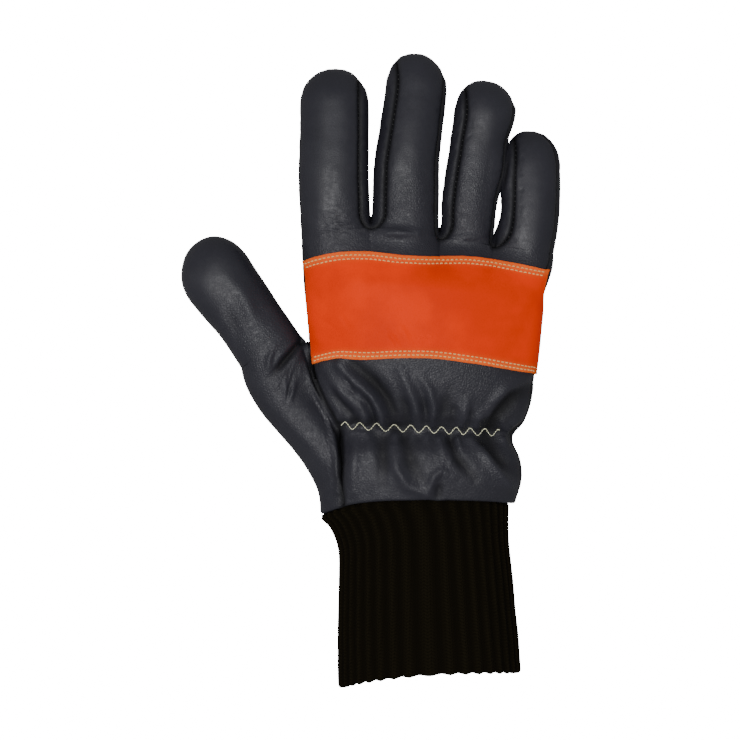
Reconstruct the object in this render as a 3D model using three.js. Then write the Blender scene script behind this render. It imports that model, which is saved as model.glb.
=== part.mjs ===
// A right-hand leather work glove, lying on its palm with its back up.
// X runs across the hand towards the little finger, Y towards the fingertips and Z up. All sizes are millimetres.
// The leather skin is one surface of rings. It is divided along the real seams into the back, the palm, the thumb
// and the three strips between the fingers, and each division becomes a hollow sheet with its own wall.
import * as THREE from "three";

// Hand
const HAND_LENGTH = 120; // from the hem to the fork of the middle and ring fingers
const HAND_THICKNESS = 36;
const HAND_SQUARENESS = 2.3; // 2 is an ellipse, more is boxier
const EDGE_HEIGHT = 0.42; // the hand's edges lie at this share of its height
const HEM_DROP_THUMB = 6.5; // how far the hem dips at the thumb side
const HEM_DROP_LITTLE = 1.9;
const KNUCKLE_BLEND = 24; // the hand's smooth arch turns into four finger arches over this length

// Fingers: the four widths together make the knuckles' width
const INDEX_WIDTH = 32.2;
const INDEX_LENGTH = 75.2;
const MIDDLE_WIDTH = 31.5;
const MIDDLE_LENGTH = 82.5;
const RING_WIDTH = 24.5;
const RING_LENGTH = 74.2;
const LITTLE_WIDTH = 27.9;
const LITTLE_LENGTH = 55.6;
const FINGER_FLATNESS = 0.8; // a finger's thickness over its width
const FINGER_SQUARENESS = 2.2;
const FINGERTIP_LENGTH = 17; // the rounded end
const FORK_ROUND = 7; // a fork's rounding, along the finger
const FORK_SLOPE = 6; // a fork lies this much nearer to the fingertips at the palm
const SKEW_LENGTH = 26; // the slanted knuckle line is gone this far up a finger
const STRIP_ANGLE = 37; // half the angle that a strip between fingers takes of a finger's ring

// Thumb
const THUMB_WIDTH = 31;
const THUMB_REACH = 58.6; // from its first full ring to its tip
const THUMB_SPREAD = 36; // degrees away from the hand's length
const THUMB_FLATNESS = 0.8;
const THUMB_STEP = 9.2; // its first full ring stands this far beyond its fork
const THUMB_ASIDE = 2.4; // and this far out from it
const THUMB_HEEL_BULGE = 1.5; // the outer side between that ring and the hem swells by this much
const THUMB_HEEL_TURN = 22; // degrees that the outer side below that ring is turned towards the fingers
const THUMB_FORK_AT = 0.625; // the fork's height, as a share of the hand's length
const THUMB_TIP_LENGTH = 21;
const THUMB_SEAM_UNDER = 52; // degrees that the thumb's seam runs under the palm
const THUMB_SEAM_TURN = 0.625; // it turns under within this share of the stretch from the fork to the hem
const HEM_STRAIGHT = 18; // this near to the hem, the thumb's skin leaves the seam along the hand
const FORK_STRAIGHT = 0.3; // this near to the fork, as a share of the hand's length, it leaves along the thumb

// Sheets
const LEATHER_WALL = 1.8;
const BAND_WALL = 1.2;
const KNIT_WALL = 2.2;
const PIECE_GAP = 0.35; // clearance between neighbouring pieces
const SEAM_DEPTH = 0.8; // a seam lies this deep in the skin
const BAND_INSET = 0.9; // the band's ends stop short of the side seams

// Knuckle band, as shares of the hand's length
const BAND_FROM = 0.52;
const BAND_TO = 0.925;

// Elastic line across the back of the wrist
const ELASTIC_AT = 0.265; // share of the hand's length
const GATHER_DEPTH = 0.9;
const GATHER_START = 3; // the gathers rise over this length on both sides of the line
const GATHER_REACH = 11;

// Knitted cuff
const CUFF_LENGTH = 78.3;
const CUFF_WIDTH = 83;
const CUFF_THICKNESS = 27;
const CUFF_TUCK = 7; // length hidden inside the leather hem
const CUFF_CLEARANCE = 1.45; // inside the hem, as a share of the leather's wall and the gap
const CUFF_END_SLANT = 7; // the open end is lower at the thumb side
const CUFF_SQUARENESS = 2.4;
const RIB_COUNT = 38;
const RIB_DEPTH = 0.7;

// How finely the skin is divided
const BACK_COLUMNS = 6; // on each finger's back
const PALM_COLUMNS = 4;
const STRIP_COLUMNS = 2;
const HEM_COLUMNS = 5; // of the thumb's own stretch of the hem

const LEATHER = { color: 0x3b3b41, roughness: 0.5, metalness: 0 };
const BAND_LEATHER = { color: 0xe0480e, roughness: 0.45, metalness: 0 };
const KNIT = { color: 0x12100a, roughness: 0.95, metalness: 0 };

const KNUCKLE_WIDTH = INDEX_WIDTH + MIDDLE_WIDTH + RING_WIDTH + LITTLE_WIDTH;

// The hand's rings. left, right: edges as shares of half the knuckle width; top, bottom: heights as shares of the
// hand's thickness, where a negative one is flattened on the floor; seam: degrees of the back's seam above the left edge.
const HAND_RINGS = [
  { at: 0.0, left: 0.845, right: 0.69, top: 0.83, bottom: -0.03, seam: 42 },
  { at: 0.1, left: 0.865, right: 0.742, top: 0.9, bottom: -0.06, seam: 42 },
  { at: 0.18, left: 0.865, right: 0.732, top: 0.88, bottom: -0.07, seam: 42.5 },
  { at: 0.265, left: 0.86, right: 0.672, top: 0.74, bottom: -0.07, seam: 41 },
  { at: 0.33, left: 0.88, right: 0.765, top: 0.86, bottom: -0.07, seam: 36 },
  { at: 0.42, left: 0.915, right: 0.825, top: 0.95, bottom: -0.05, seam: 27 },
  { at: 0.52, left: 0.945, right: 0.842, top: 1.0, bottom: -0.02, seam: 18 },
  { at: 0.625, left: 0.937, right: 0.865, top: 1.02, bottom: 0.02, seam: 15 },
  { at: 0.8, left: 0.967, right: 0.9, top: 1.0, bottom: 0.07, seam: 12 },
  { at: 0.9, left: 0.985, right: 0.937, top: 0.96, bottom: 0.1, seam: 16 },
  { at: 1.0, left: 1.0, right: 1.0, top: 0.9, bottom: 0.12, seam: 8 },
];
const RIGHT_SEAM_ANGLE = 26; // degrees of the back's right seam above the right edge at the knuckles
const RIGHT_SEAM_LOW = 6; // and from the middle of the band down
const RIGHT_SEAM_FALL = [0.74, 0.98]; // between these shares of the hand's length

// Each finger's own stations, as shares of its width; at is a share of its length.
const FINGERS = [
  {
    name: "index", width: INDEX_WIDTH, length: INDEX_LENGTH, roll: -5,
    stations: [
      { at: 0.0, aside: 0.0, wide: 0.975, lift: 0.13 },
      { at: 0.35, aside: -0.03, wide: 1.0, lift: 0.15 },
      { at: 0.7, aside: -0.02, wide: 0.975, lift: 0.08 },
      { at: 1.0, aside: -0.03, wide: 0.95, lift: 0.0 },
    ],
  },
  {
    name: "middle", width: MIDDLE_WIDTH, length: MIDDLE_LENGTH, roll: 14,
    stations: [
      { at: 0.0, aside: 0.0, wide: 0.965, lift: 0.14 },
      { at: 0.37, aside: 0.012, wide: 0.945, lift: 0.17 },
      { at: 0.6, aside: 0.09, wide: 0.915, lift: 0.12 },
      { at: 0.82, aside: 0.155, wide: 0.885, lift: 0.03 },
      { at: 1.0, aside: 0.12, wide: 0.85, lift: 0.0 },
    ],
  },
  {
    name: "ring", width: RING_WIDTH, length: RING_LENGTH, roll: 15,
    stations: [
      { at: 0.0, aside: 0.0, wide: 0.955, lift: 0.15 },
      { at: 0.26, aside: 0.065, wide: 1.04, lift: 0.17 },
      { at: 0.63, aside: 0.245, wide: 1.1, lift: 0.1 },
      { at: 0.81, aside: 0.345, wide: 1.16, lift: 0.03 },
      { at: 1.0, aside: 0.3, wide: 1.15, lift: 0.0 },
    ],
  },
  {
    name: "little", width: LITTLE_WIDTH, length: LITTLE_LENGTH, roll: 17,
    stations: [
      { at: 0.0, aside: 0.0, wide: 0.965, lift: 0.11 },
      { at: 0.22, aside: 0.085, wide: 0.965, lift: 0.12 },
      { at: 0.57, aside: 0.12, wide: 0.965, lift: 0.06 },
      { at: 0.8, aside: 0.125, wide: 0.935, lift: 0.02 },
      { at: 1.0, aside: 0.08, wide: 0.93, lift: 0.0 },
    ],
  },
];
// Heights of the knuckle line at the index's outer side, the three forks and the little finger's outer side,
// as shares of the hand's length.
const KNUCKLE_LINE = [1.0, 1.037, 0.998, 0.966, 0.93];
const KNUCKLE_CURVE = [0.993, 1.022, 0.999, 0.972, 0.942]; // the same, smoothed, for the hand's rows below the forks
const KNUCKLE_CURVE_TO = 0.9; // up to this share of the hand's length
const INDEX_SEAM_ANGLE = 8; // the two outer sides have no strip: there the back meets the palm this far above
const LITTLE_SEAM_ANGLE = 27;

// The thumb's stations beyond its first full ring.
const THUMB_STATIONS = [
  { at: 0.0, aside: -0.03, wide: 0.99, lift: 0.12 },
  { at: 0.25, aside: -0.01, wide: 0.98, lift: 0.1 },
  { at: 0.55, aside: -0.02, wide: 1.05, lift: 0.05 },
  { at: 0.8, aside: -0.01, wide: 1.08, lift: 0.01 },
  { at: 1.0, aside: 0.03, wide: 1.04, lift: 0.0 },
];

const FOLD_FADE = 0.6; // a fold is this share shallower at its far end
// Folds in the top of the skin. across: share of half the knuckle width; up: share of the hand's length;
// deep and wide: shares of the hand's thickness. The first ones fan out above the elastic line, then those below it.
const FOLDS = [
  { across: -0.62, up: 0.285, acrossTo: -0.86, upTo: 0.5, deep: 0.055, wide: 0.1 },
  { across: -0.5, up: 0.29, acrossTo: -0.73, upTo: 0.46, deep: 0.05, wide: 0.09 },
  { across: -0.36, up: 0.285, acrossTo: -0.62, upTo: 0.44, deep: 0.055, wide: 0.1 },
  { across: -0.12, up: 0.285, acrossTo: -0.2, upTo: 0.42, deep: 0.045, wide: 0.08 },
  { across: 0.06, up: 0.28, acrossTo: 0.02, upTo: 0.4, deep: 0.04, wide: 0.08 },
  { across: 0.33, up: 0.28, acrossTo: 0.36, upTo: 0.4, deep: 0.035, wide: 0.08 },
  { across: 0.52, up: 0.28, acrossTo: 0.78, upTo: 0.43, deep: 0.075, wide: 0.11 },
  { across: -0.42, up: 0.24, acrossTo: -0.36, upTo: 0.08, deep: 0.04, wide: 0.11 },
  { across: -0.1, up: 0.24, acrossTo: -0.02, upTo: 0.09, deep: 0.045, wide: 0.1 },
  { across: 0.14, up: 0.24, acrossTo: 0.28, upTo: 0.12, deep: 0.045, wide: 0.09 },
  { across: 0.42, up: 0.24, acrossTo: 0.6, upTo: 0.1, deep: 0.055, wide: 0.1 },
  { across: -1.07, up: 0.55, acrossTo: -1.2, upTo: 0.46, deep: 0.06, wide: 0.1 },
  { across: -0.98, up: 0.33, acrossTo: -1.06, upTo: 0.12, deep: 0.04, wide: 0.13 },
];

// The cuff's rings. down: share of the cuff's length below the hem; left, right: edges as shares of its width.
const CUFF_RINGS = [
  { down: 0.03, left: 0.588, right: 0.449, top: 0.95, bottom: 0.08 },
  { down: 0.08, left: 0.552, right: 0.447, top: 0.94, bottom: 0.06 },
  { down: 0.2, left: 0.494, right: 0.45, top: 0.89, bottom: 0.0 },
  { down: 0.36, left: 0.492, right: 0.464, top: 0.9, bottom: 0.0 },
  { down: 0.7, left: 0.497, right: 0.494, top: 0.95, bottom: 0.0 },
  { down: 1.0, left: 0.494, right: 0.517, top: 1.0, bottom: 0.0 },
];

const radians = THREE.MathUtils.degToRad;
const mix = THREE.MathUtils.lerp;
const ease = (t) => THREE.MathUtils.smoothstep(t, 0, 1);
const roundEnd = (t, power) => (t >= 1 ? 1 : (1 - (1 - Math.max(t, 0)) ** power) ** (1 / power));

// A table's column at a station, on a smooth curve through the rows.
function read(table, key, column, at) {
  const last = table.length - 1;
  let i = 0;
  while (i < last - 1 && at > table[i + 1][key]) i += 1;
  const value = (k) => table[Math.min(Math.max(k, 0), last)][column];
  const place = (k) => table[Math.min(Math.max(k, 0), last)][key];
  const span = place(i + 1) - place(i);
  const slope = (k) => {
    const run = place(k + 1) - place(k - 1);
    return run > 0 ? (value(k + 1) - value(k - 1)) / run : 0;
  };
  const t = Math.min(Math.max((at - place(i)) / span, 0), 1);
  const [t2, t3] = [t * t, t * t * t];
  return value(i) * (2 * t3 - 3 * t2 + 1) + value(i + 1) * (3 * t2 - 2 * t3)
    + span * (slope(i) * (t3 - 2 * t2 + t) + slope(i + 1) * (t3 - t2));
}

// A point of a squared-off ring, as across and high from its middle.
function ringPoint(angle, halfWidth, halfHeight, squareness) {
  const [c, s] = [Math.cos(angle), Math.sin(angle)];
  const power = 2 / squareness;
  return [halfWidth * Math.sign(c) * Math.abs(c) ** power, halfHeight * Math.sign(s) * Math.abs(s) ** power];
}

// Fingers

const KNUCKLE_X = [-KNUCKLE_WIDTH / 2];
FINGERS.forEach((finger) => KNUCKLE_X.push(KNUCKLE_X.at(-1) + finger.width));
const KNUCKLE_Y = KNUCKLE_LINE.map((share) => share * HAND_LENGTH);
const knuckleCurve = KNUCKLE_CURVE.map((share, n) => ({ at: KNUCKLE_X[n], level: share * HAND_LENGTH }));
const STRIP_END = 0.965; // share of a finger's length by which its strips have run out

// The angles, in degrees, of a finger's seams: [back left, back right, palm left, palm right].
function seamAngles(i, at) {
  const { roll, length } = FINGERS[i];
  const end = roundEnd(((1 - at) * length) / FINGERTIP_LENGTH, FINGER_SQUARENESS);
  // A seam keeps its distance from the finger's middle until the rounded end takes it in.
  const straight = (angle) => {
    const share = Math.cos(radians(angle)) / Math.max(end, 0.01) ** (FINGER_SQUARENESS / 2);
    return THREE.MathUtils.radToDeg(Math.acos(Math.min(share, 1)));
  };
  const [wide, narrow] = [straight(STRIP_ANGLE + roll), straight(STRIP_ANGLE - roll)];
  const left = i > 0 ? [wide, narrow] : [INDEX_SEAM_ANGLE, -INDEX_SEAM_ANGLE];
  const right = i < 3 ? [narrow, wide] : [LITTLE_SEAM_ANGLE, -LITTLE_SEAM_ANGLE];
  return [180 - left[0], right[0], 180 + left[1], 360 - right[1]];
}

function fingerRing(i, at, degrees) {
  const finger = FINGERS[i];
  const station = (column) => read(finger.stations, "at", column, at);
  const end = roundEnd(((1 - at) * finger.length) / FINGERTIP_LENGTH, FINGER_SQUARENESS);
  const halfWidth = (finger.width * station("wide")) / 2;
  const halfHeight = halfWidth * FINGER_FLATNESS;
  const [across, high] = ringPoint(radians(degrees), halfWidth * end, halfHeight * end, FINGER_SQUARENESS);
  const middle = (KNUCKLE_X[i] + KNUCKLE_X[i + 1]) / 2;
  return new THREE.Vector3(
    middle + finger.width * station("aside") + across,
    0,
    finger.width * station("lift") + halfHeight + high,
  );
}

// The fork between finger k and the next, at the back's seam or the palm's.
function forkPoint(k, side) {
  const column = side === "back" ? [1, 0] : [3, 2];
  const z = [0, 1].map((n) => fingerRing(k + n, 0, seamAngles(k + n, 0)[column[n]]).z);
  return new THREE.Vector3(KNUCKLE_X[k + 1], 0, (z[0] + z[1]) / 2);
}

// A point of finger i. zone is back, palm, left or right; t runs across it, from the left, or from the back's seam.
function fingerPoint(i, at, zone, t) {
  const finger = FINGERS[i];
  const seams = seamAngles(i, at);
  const ends = { back: [0, 1], palm: [2, 3], left: [0, 2], right: [1, 3] }[zone];
  const from = seams[ends[0]];
  const to = zone === "right" ? seams[3] - 360 : seams[ends[1]];
  const point = fingerRing(i, at, mix(from, to, t));
  const pinch = 1 - roundEnd((at * finger.length) / FORK_ROUND, 2);
  const across = { back: t, palm: t, left: 0, right: 1 }[zone];
  const pull = (k, seamOf) => {
    const fork = { back: forkPoint(k, "back"), palm: forkPoint(k, "palm") };
    if (zone === "back" || zone === "palm") return fork[zone].sub(fingerRing(i, at, seams[seamOf[zone]]));
    return fork.back.lerp(fork.palm, t).sub(point);
  };
  const leftShare = Math.max(0, 1 - 2 * across) ** 2;
  const rightShare = Math.max(0, 2 * across - 1) ** 2;
  if (pinch > 0 && i > 0 && leftShare > 0) point.addScaledVector(pull(i - 1, { back: 0, palm: 2 }), pinch * leftShare);
  if (pinch > 0 && i < 3 && rightShare > 0) point.addScaledVector(pull(i, { back: 1, palm: 3 }), pinch * rightShare);
  const level = (KNUCKLE_Y[i] + KNUCKLE_Y[i + 1]) / 2;
  const under = { back: 0, palm: 1, left: t, right: t }[zone];
  const slope = FORK_SLOPE * under * ((i > 0 ? leftShare : 0) + (i < 3 ? rightShare : 0));
  const skew = mix(KNUCKLE_Y[i], KNUCKLE_Y[i + 1], across) - level + slope;
  point.y = level + at * finger.length + skew * (1 - ease((at * finger.length) / SKEW_LENGTH));
  return point;
}

// Hand

function handRing(v, degrees, inset = 0) {
  const part = (column) => read(HAND_RINGS, "at", column, v);
  const [left, right] = [(-part("left") * KNUCKLE_WIDTH) / 2, (part("right") * KNUCKLE_WIDTH) / 2];
  const [top, bottom] = [part("top") * HAND_THICKNESS, part("bottom") * HAND_THICKNESS];
  const side = mix(bottom, top, EDGE_HEIGHT);
  const upper = Math.sin(radians(degrees)) > 0;
  const [halfWidth, halfHeight] = [(right - left) / 2 - inset, (upper ? top - side : side - bottom) - inset];
  const [across, high] = ringPoint(radians(degrees), halfWidth, halfHeight, HAND_SQUARENESS);
  return new THREE.Vector3((left + right) / 2 + across, 0, side + high);
}

const forkAngles = KNUCKLE_X.slice(1, 4).map((x) => {
  const share = x / (KNUCKLE_WIDTH / 2);
  return THREE.MathUtils.radToDeg(Math.acos(Math.sign(share) * Math.abs(share) ** (HAND_SQUARENESS / 2)));
});

const rightSeamAngle = (v) => mix(
  RIGHT_SEAM_LOW,
  RIGHT_SEAM_ANGLE,
  ease((v - RIGHT_SEAM_FALL[0]) / (RIGHT_SEAM_FALL[1] - RIGHT_SEAM_FALL[0])),
);

// The left edge of the palm piece: the back's own seam above the thumb, the thumb's seam under the palm below it.
function palmEdgeAngle(v) {
  const seam = read(HAND_RINGS, "at", "seam", v);
  const open = roundEnd((THUMB_FORK_AT - v) / (THUMB_FORK_AT * THUMB_SEAM_TURN), 2);
  return v >= THUMB_FORK_AT ? 180 - seam : mix(180 - seam, 180 + THUMB_SEAM_UNDER, open);
}

const hemHeight = (share) => -(share < 0 ? HEM_DROP_THUMB : HEM_DROP_LITTLE) * Math.abs(share) ** 3;

// A point of the hand at height v, in finger i's stretch of the back or palm, t across that stretch.
function handPoint(v, zone, i, t) {
  const stops = zone === "back"
    ? [180 - read(HAND_RINGS, "at", "seam", v), ...forkAngles, rightSeamAngle(v)]
    : [palmEdgeAngle(v), ...forkAngles.map((angle) => 360 - angle), 360 + rightSeamAngle(v)];
  let degrees = mix(stops[i], stops[i + 1], t);
  if (zone === "palm" && i === 3) {
    // Towards the knuckles, the edge of the hand turns into the little finger's edge.
    const seams = seamAngles(i, 0);
    const edge = (360 - seams[2]) / (seams[3] - seams[2]);
    const turned = t < edge ? mix(stops[i], 360, t / edge) : mix(360, stops[i + 1], (t - edge) / (1 - edge));
    degrees = mix(degrees, turned, ease((v - BAND_FROM) / 0.4));
  }
  const point = handRing(v, degrees);
  const root = fingerPoint(i, 0, zone, t);
  const blend = ease(1 - ((1 - v) * HAND_LENGTH) / KNUCKLE_BLEND);
  const cosine = Math.cos(radians(degrees));
  const share = Math.sign(cosine) * Math.abs(cosine) ** (2 / HAND_SQUARENESS);
  const smooth = read(knuckleCurve, "at", "level", (share * KNUCKLE_WIDTH) / 2);
  point.lerp(root, blend);
  point.y = mix(hemHeight(share), mix(smooth, root.y, ease((v - KNUCKLE_CURVE_TO) / (1 - KNUCKLE_CURVE_TO))), v);
  return point;
}

// The skin: every face is marked with its piece.

class Skin {
  constructor() {
    this.points = [];
    this.faces = [];
    this.known = new Map();
  }

  vertex(point) {
    point.z = Math.max(point.z, 0);
    const key = [point.x, point.y, point.z].map((value) => Math.round(value * 1000)).join();
    if (!this.known.has(key)) {
      this.known.set(key, this.points.length);
      this.points.push(point.clone());
    }
    return this.known.get(key);
  }

  // Rows of points become quads. Seen from outside, columns run to the right and rows run up.
  grid(piece, rows, marks = {}) {
    const ids = rows.map((row) => row.map((point) => this.vertex(point)));
    for (let r = 0; r < ids.length - 1; r += 1) {
      for (let c = 0; c < ids[r].length - 1; c += 1) {
        const loop = [ids[r][c], ids[r][c + 1], ids[r + 1][c + 1], ids[r + 1][c]];
        const corners = loop.filter((id, n) => id !== loop[(n + 1) % 4]);
        if (new Set(corners).size > 2) this.faces.push({ piece, corners, row: r, ...marks });
      }
    }
  }

  normals(faces = this.faces) {
    const sums = this.points.map(() => new THREE.Vector3());
    for (const { corners } of faces) {
      const [a, b, c] = corners.map((id) => this.points[id]);
      const d = corners.length > 3 ? this.points[corners[3]] : a;
      const normal = corners.length > 3
        ? c.clone().sub(a).cross(d.clone().sub(b))
        : b.clone().sub(a).cross(c.clone().sub(a));
      normal.normalize();
      corners.forEach((id) => sums[id].add(normal));
    }
    return sums.map((sum) => sum.normalize());
  }
}

// The inward push of all folds at a point of the skin.
function foldDepth(point, normal) {
  const upper = Math.max(normal.z, 0);
  const [x, y] = [point.x / (KNUCKLE_WIDTH / 2), point.y / HAND_LENGTH];
  const metric = [KNUCKLE_WIDTH / 2, HAND_LENGTH];
  let depth = 0;
  for (const fold of FOLDS) {
    const along = [(fold.acrossTo - fold.across) * metric[0], (fold.upTo - fold.up) * metric[1]];
    const away = [(x - fold.across) * metric[0], (y - fold.up) * metric[1]];
    const length2 = along[0] ** 2 + along[1] ** 2;
    const t = Math.min(Math.max((away[0] * along[0] + away[1] * along[1]) / length2, 0), 1);
    const distance = Math.hypot(away[0] - t * along[0], away[1] - t * along[1]);
    const wide = fold.wide * HAND_THICKNESS;
    depth += fold.deep * HAND_THICKNESS * Math.exp(-((distance / wide) ** 2)) * (1 - FOLD_FADE * t);
  }
  return depth * upper;
}

// Small even gathers on both sides of the elastic line, one column in and one column out.
function gatherDepth(column, v) {
  const away = Math.abs(v - ELASTIC_AT) * HAND_LENGTH;
  const swell = ease(away / GATHER_START) * Math.exp(-((away / GATHER_REACH) ** 2));
  return GATHER_DEPTH * swell * (column % 2 ? 1 : -1);
}

const skin = new Skin();
const gathers = new Map(); // vertex to extra depth

// Heights of the hand's rows, with one on each edge of the band, on the elastic line and on the thumb's fork.
const HAND_ROWS = [
  0, 0.055, 0.11, 0.165, 0.215, ELASTIC_AT, 0.315, 0.365, 0.44, BAND_FROM, 0.585, THUMB_FORK_AT, 0.73, 0.83, BAND_TO,
  0.965, 1,
];
const FINGER_ROWS = [0, 0.02, 0.05, 0.1, 0.21, 0.35, 0.49, 0.63, 0.75, 0.83, 0.89, 0.935, STRIP_END, 0.985, 1];
const thumbRow = HAND_ROWS.indexOf(THUMB_FORK_AT);
const bandRows = [HAND_ROWS.indexOf(BAND_FROM), HAND_ROWS.indexOf(BAND_TO)];

const steps = (count) => Array.from({ length: count + 1 }, (_, n) => n / count);

FINGERS.forEach((finger, i) => {
  const fingerRows = (zone, columns) => FINGER_ROWS.map((at) => columns.map((t) => fingerPoint(i, at, zone, t)));
  const backColumns = steps(BACK_COLUMNS);
  const palmColumns = steps(PALM_COLUMNS).reverse();
  const backRows = HAND_ROWS.map((v) => backColumns.map((t) => handPoint(v, "back", i, t)));
  skin.grid("back_panel", backRows, { hand: true });
  skin.grid("back_panel", fingerRows("back", backColumns));
  skin.grid("palm_panel", HAND_ROWS.map((v) => palmColumns.map((t) => handPoint(v, "palm", i, t))));
  skin.grid("palm_panel", fingerRows("palm", palmColumns));
  backRows.forEach((row, r) => row.forEach((point, c) => {
    gathers.set(skin.vertex(point), gatherDepth(i * BACK_COLUMNS + c, HAND_ROWS[r]));
  }));
});

const stripName = (k) => `strip_${FINGERS[k].name}_${FINGERS[k + 1].name}`;
for (let k = 0; k < FINGERS.length - 1; k += 1) {
  const stripRows = FINGER_ROWS.filter((at) => at <= STRIP_END);
  const side = (i, zone, columns) => stripRows.map((at) => columns.map((t) => fingerPoint(i, at, zone, t)));
  skin.grid(stripName(k), side(k, "right", steps(STRIP_COLUMNS)));
  skin.grid(stripName(k), side(k + 1, "left", steps(STRIP_COLUMNS).reverse()));
}

// Thumb: from the loop of its seam and its stretch of the hem, out to its tip.

const thumbAxis = new THREE.Vector3(-Math.sin(radians(THUMB_SPREAD)), Math.cos(radians(THUMB_SPREAD)), 0);
const thumbInner = new THREE.Vector3(Math.cos(radians(THUMB_SPREAD)), Math.sin(radians(THUMB_SPREAD)), 0);
const thumbFork = handPoint(THUMB_FORK_AT, "back", 0, 0);
const thumbRoot = thumbFork.clone()
  .addScaledVector(thumbInner, -THUMB_WIDTH * (THUMB_STATIONS[0].wide / 2 + THUMB_STATIONS[0].aside) - THUMB_ASIDE)
  .addScaledVector(thumbAxis, THUMB_STEP);

function thumbPoint(at, degrees) {
  const station = (column) => read(THUMB_STATIONS, "at", column, at);
  const end = roundEnd(((1 - at) * THUMB_REACH) / THUMB_TIP_LENGTH, FINGER_SQUARENESS);
  const halfWidth = (THUMB_WIDTH * station("wide")) / 2;
  const halfHeight = halfWidth * THUMB_FLATNESS;
  const [across, high] = ringPoint(radians(degrees), halfWidth * end, halfHeight * end, FINGER_SQUARENESS);
  return thumbRoot.clone().setZ(THUMB_WIDTH * station("lift") + halfHeight + high)
    .addScaledVector(thumbAxis, at * THUMB_REACH)
    .addScaledVector(thumbInner, across + THUMB_WIDTH * station("aside"));
}

// The loop where the thumb joins the hand, with the direction in which its skin leaves each point.
function thumbLoop() {
  const along = new THREE.Vector3(0, 1, 0);
  const lean = (degrees, v) => handRing(v, degrees + 4).sub(handRing(v, degrees - 4)).normalize();
  const rows = HAND_ROWS.slice(0, thumbRow + 1);
  const seamAt = (v) => 180 - read(HAND_RINGS, "at", "seam", v);
  const hemward = (v) => 1 - ease((v * HAND_LENGTH) / HEM_STRAIGHT);
  const forkward = (v) => ease(1 - (THUMB_FORK_AT - v) / FORK_STRAIGHT);
  const leave = (across, v) => across.multiplyScalar(across.dot(thumbAxis)).addScaledVector(along, thumbAxis.y)
    .lerp(along, hemward(v) * 0.7).lerp(thumbAxis, forkward(v)).normalize();
  const loop = rows.toReversed().map((v) => ({
    point: handPoint(v, "back", 0, 0),
    leaving: leave(lean(seamAt(v), v), v),
  }));
  const hemAngles = steps(HEM_COLUMNS).slice(1, -1).map((t) => mix(seamAt(0), palmEdgeAngle(0), t));
  for (const degrees of hemAngles) {
    const point = handRing(0, degrees);
    const share = Math.cos(radians(degrees));
    point.y = hemHeight(Math.sign(share) * Math.abs(share) ** (2 / HAND_SQUARENESS));
    loop.push({ point, leaving: along.clone() });
  }
  for (const v of rows.slice(0, -1)) {
    loop.push({
      point: handPoint(v, "palm", 0, 0),
      leaving: leave(lean(palmEdgeAngle(v), v).negate(), v),
    });
  }
  loop.push({ ...loop[0] });
  return loop;
}

const loop = thumbLoop();
const lengths = loop.map(() => 0);
for (let n = 1; n < loop.length; n += 1) lengths[n] = lengths[n - 1] + loop[n].point.distanceTo(loop[n - 1].point);
const loopAngles = lengths.map((length) => (360 * length) / lengths.at(-1));

function joinPoint(n, q) {
  const { point, leaving } = loop[n];
  const target = thumbPoint(0, loopAngles[n]);
  const reach = point.distanceTo(target);
  const outward = (1 - Math.cos(radians(loopAngles[n]))) / 2;
  const arriving = thumbAxis.clone().applyAxisAngle(new THREE.Vector3(0, 0, 1), radians(-THUMB_HEEL_TURN * outward));
  const [q2, q3] = [q * q, q * q * q];
  const bulge = THUMB_HEEL_BULGE * outward ** 2 * q3 * (1 - q) * (256 / 27);
  return point.clone().multiplyScalar(2 * q3 - 3 * q2 + 1)
    .addScaledVector(thumbInner, -bulge)
    .addScaledVector(leaving, reach * (q3 - 2 * q2 + q))
    .addScaledVector(target, 3 * q2 - 2 * q3)
    .addScaledVector(arriving, reach * (q3 - q2));
}

const THUMB_JOIN_ROWS = [0, 0.14, 0.32, 0.54, 0.78];
const THUMB_ROWS = [0, 0.14, 0.28, 0.42, 0.56, 0.68, 0.78, 0.87, 0.94, 0.985, 1];
const backwards = loop.map((_, n) => loop.length - 1 - n);
skin.grid("thumb", [
  ...THUMB_JOIN_ROWS.map((q) => backwards.map((n) => joinPoint(n, q))),
  ...THUMB_ROWS.map((at) => backwards.map((n) => thumbPoint(at, loopAngles[n]))),
]);

// Folds and gathers, pressed into the finished skin.
skin.normals().forEach((normal, id) => {
  const point = skin.points[id];
  point.addScaledVector(normal, -foldDepth(point, normal) - (gathers.get(id) ?? 0));
  point.z = Math.max(point.z, 0);
});

// Sheets

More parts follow.
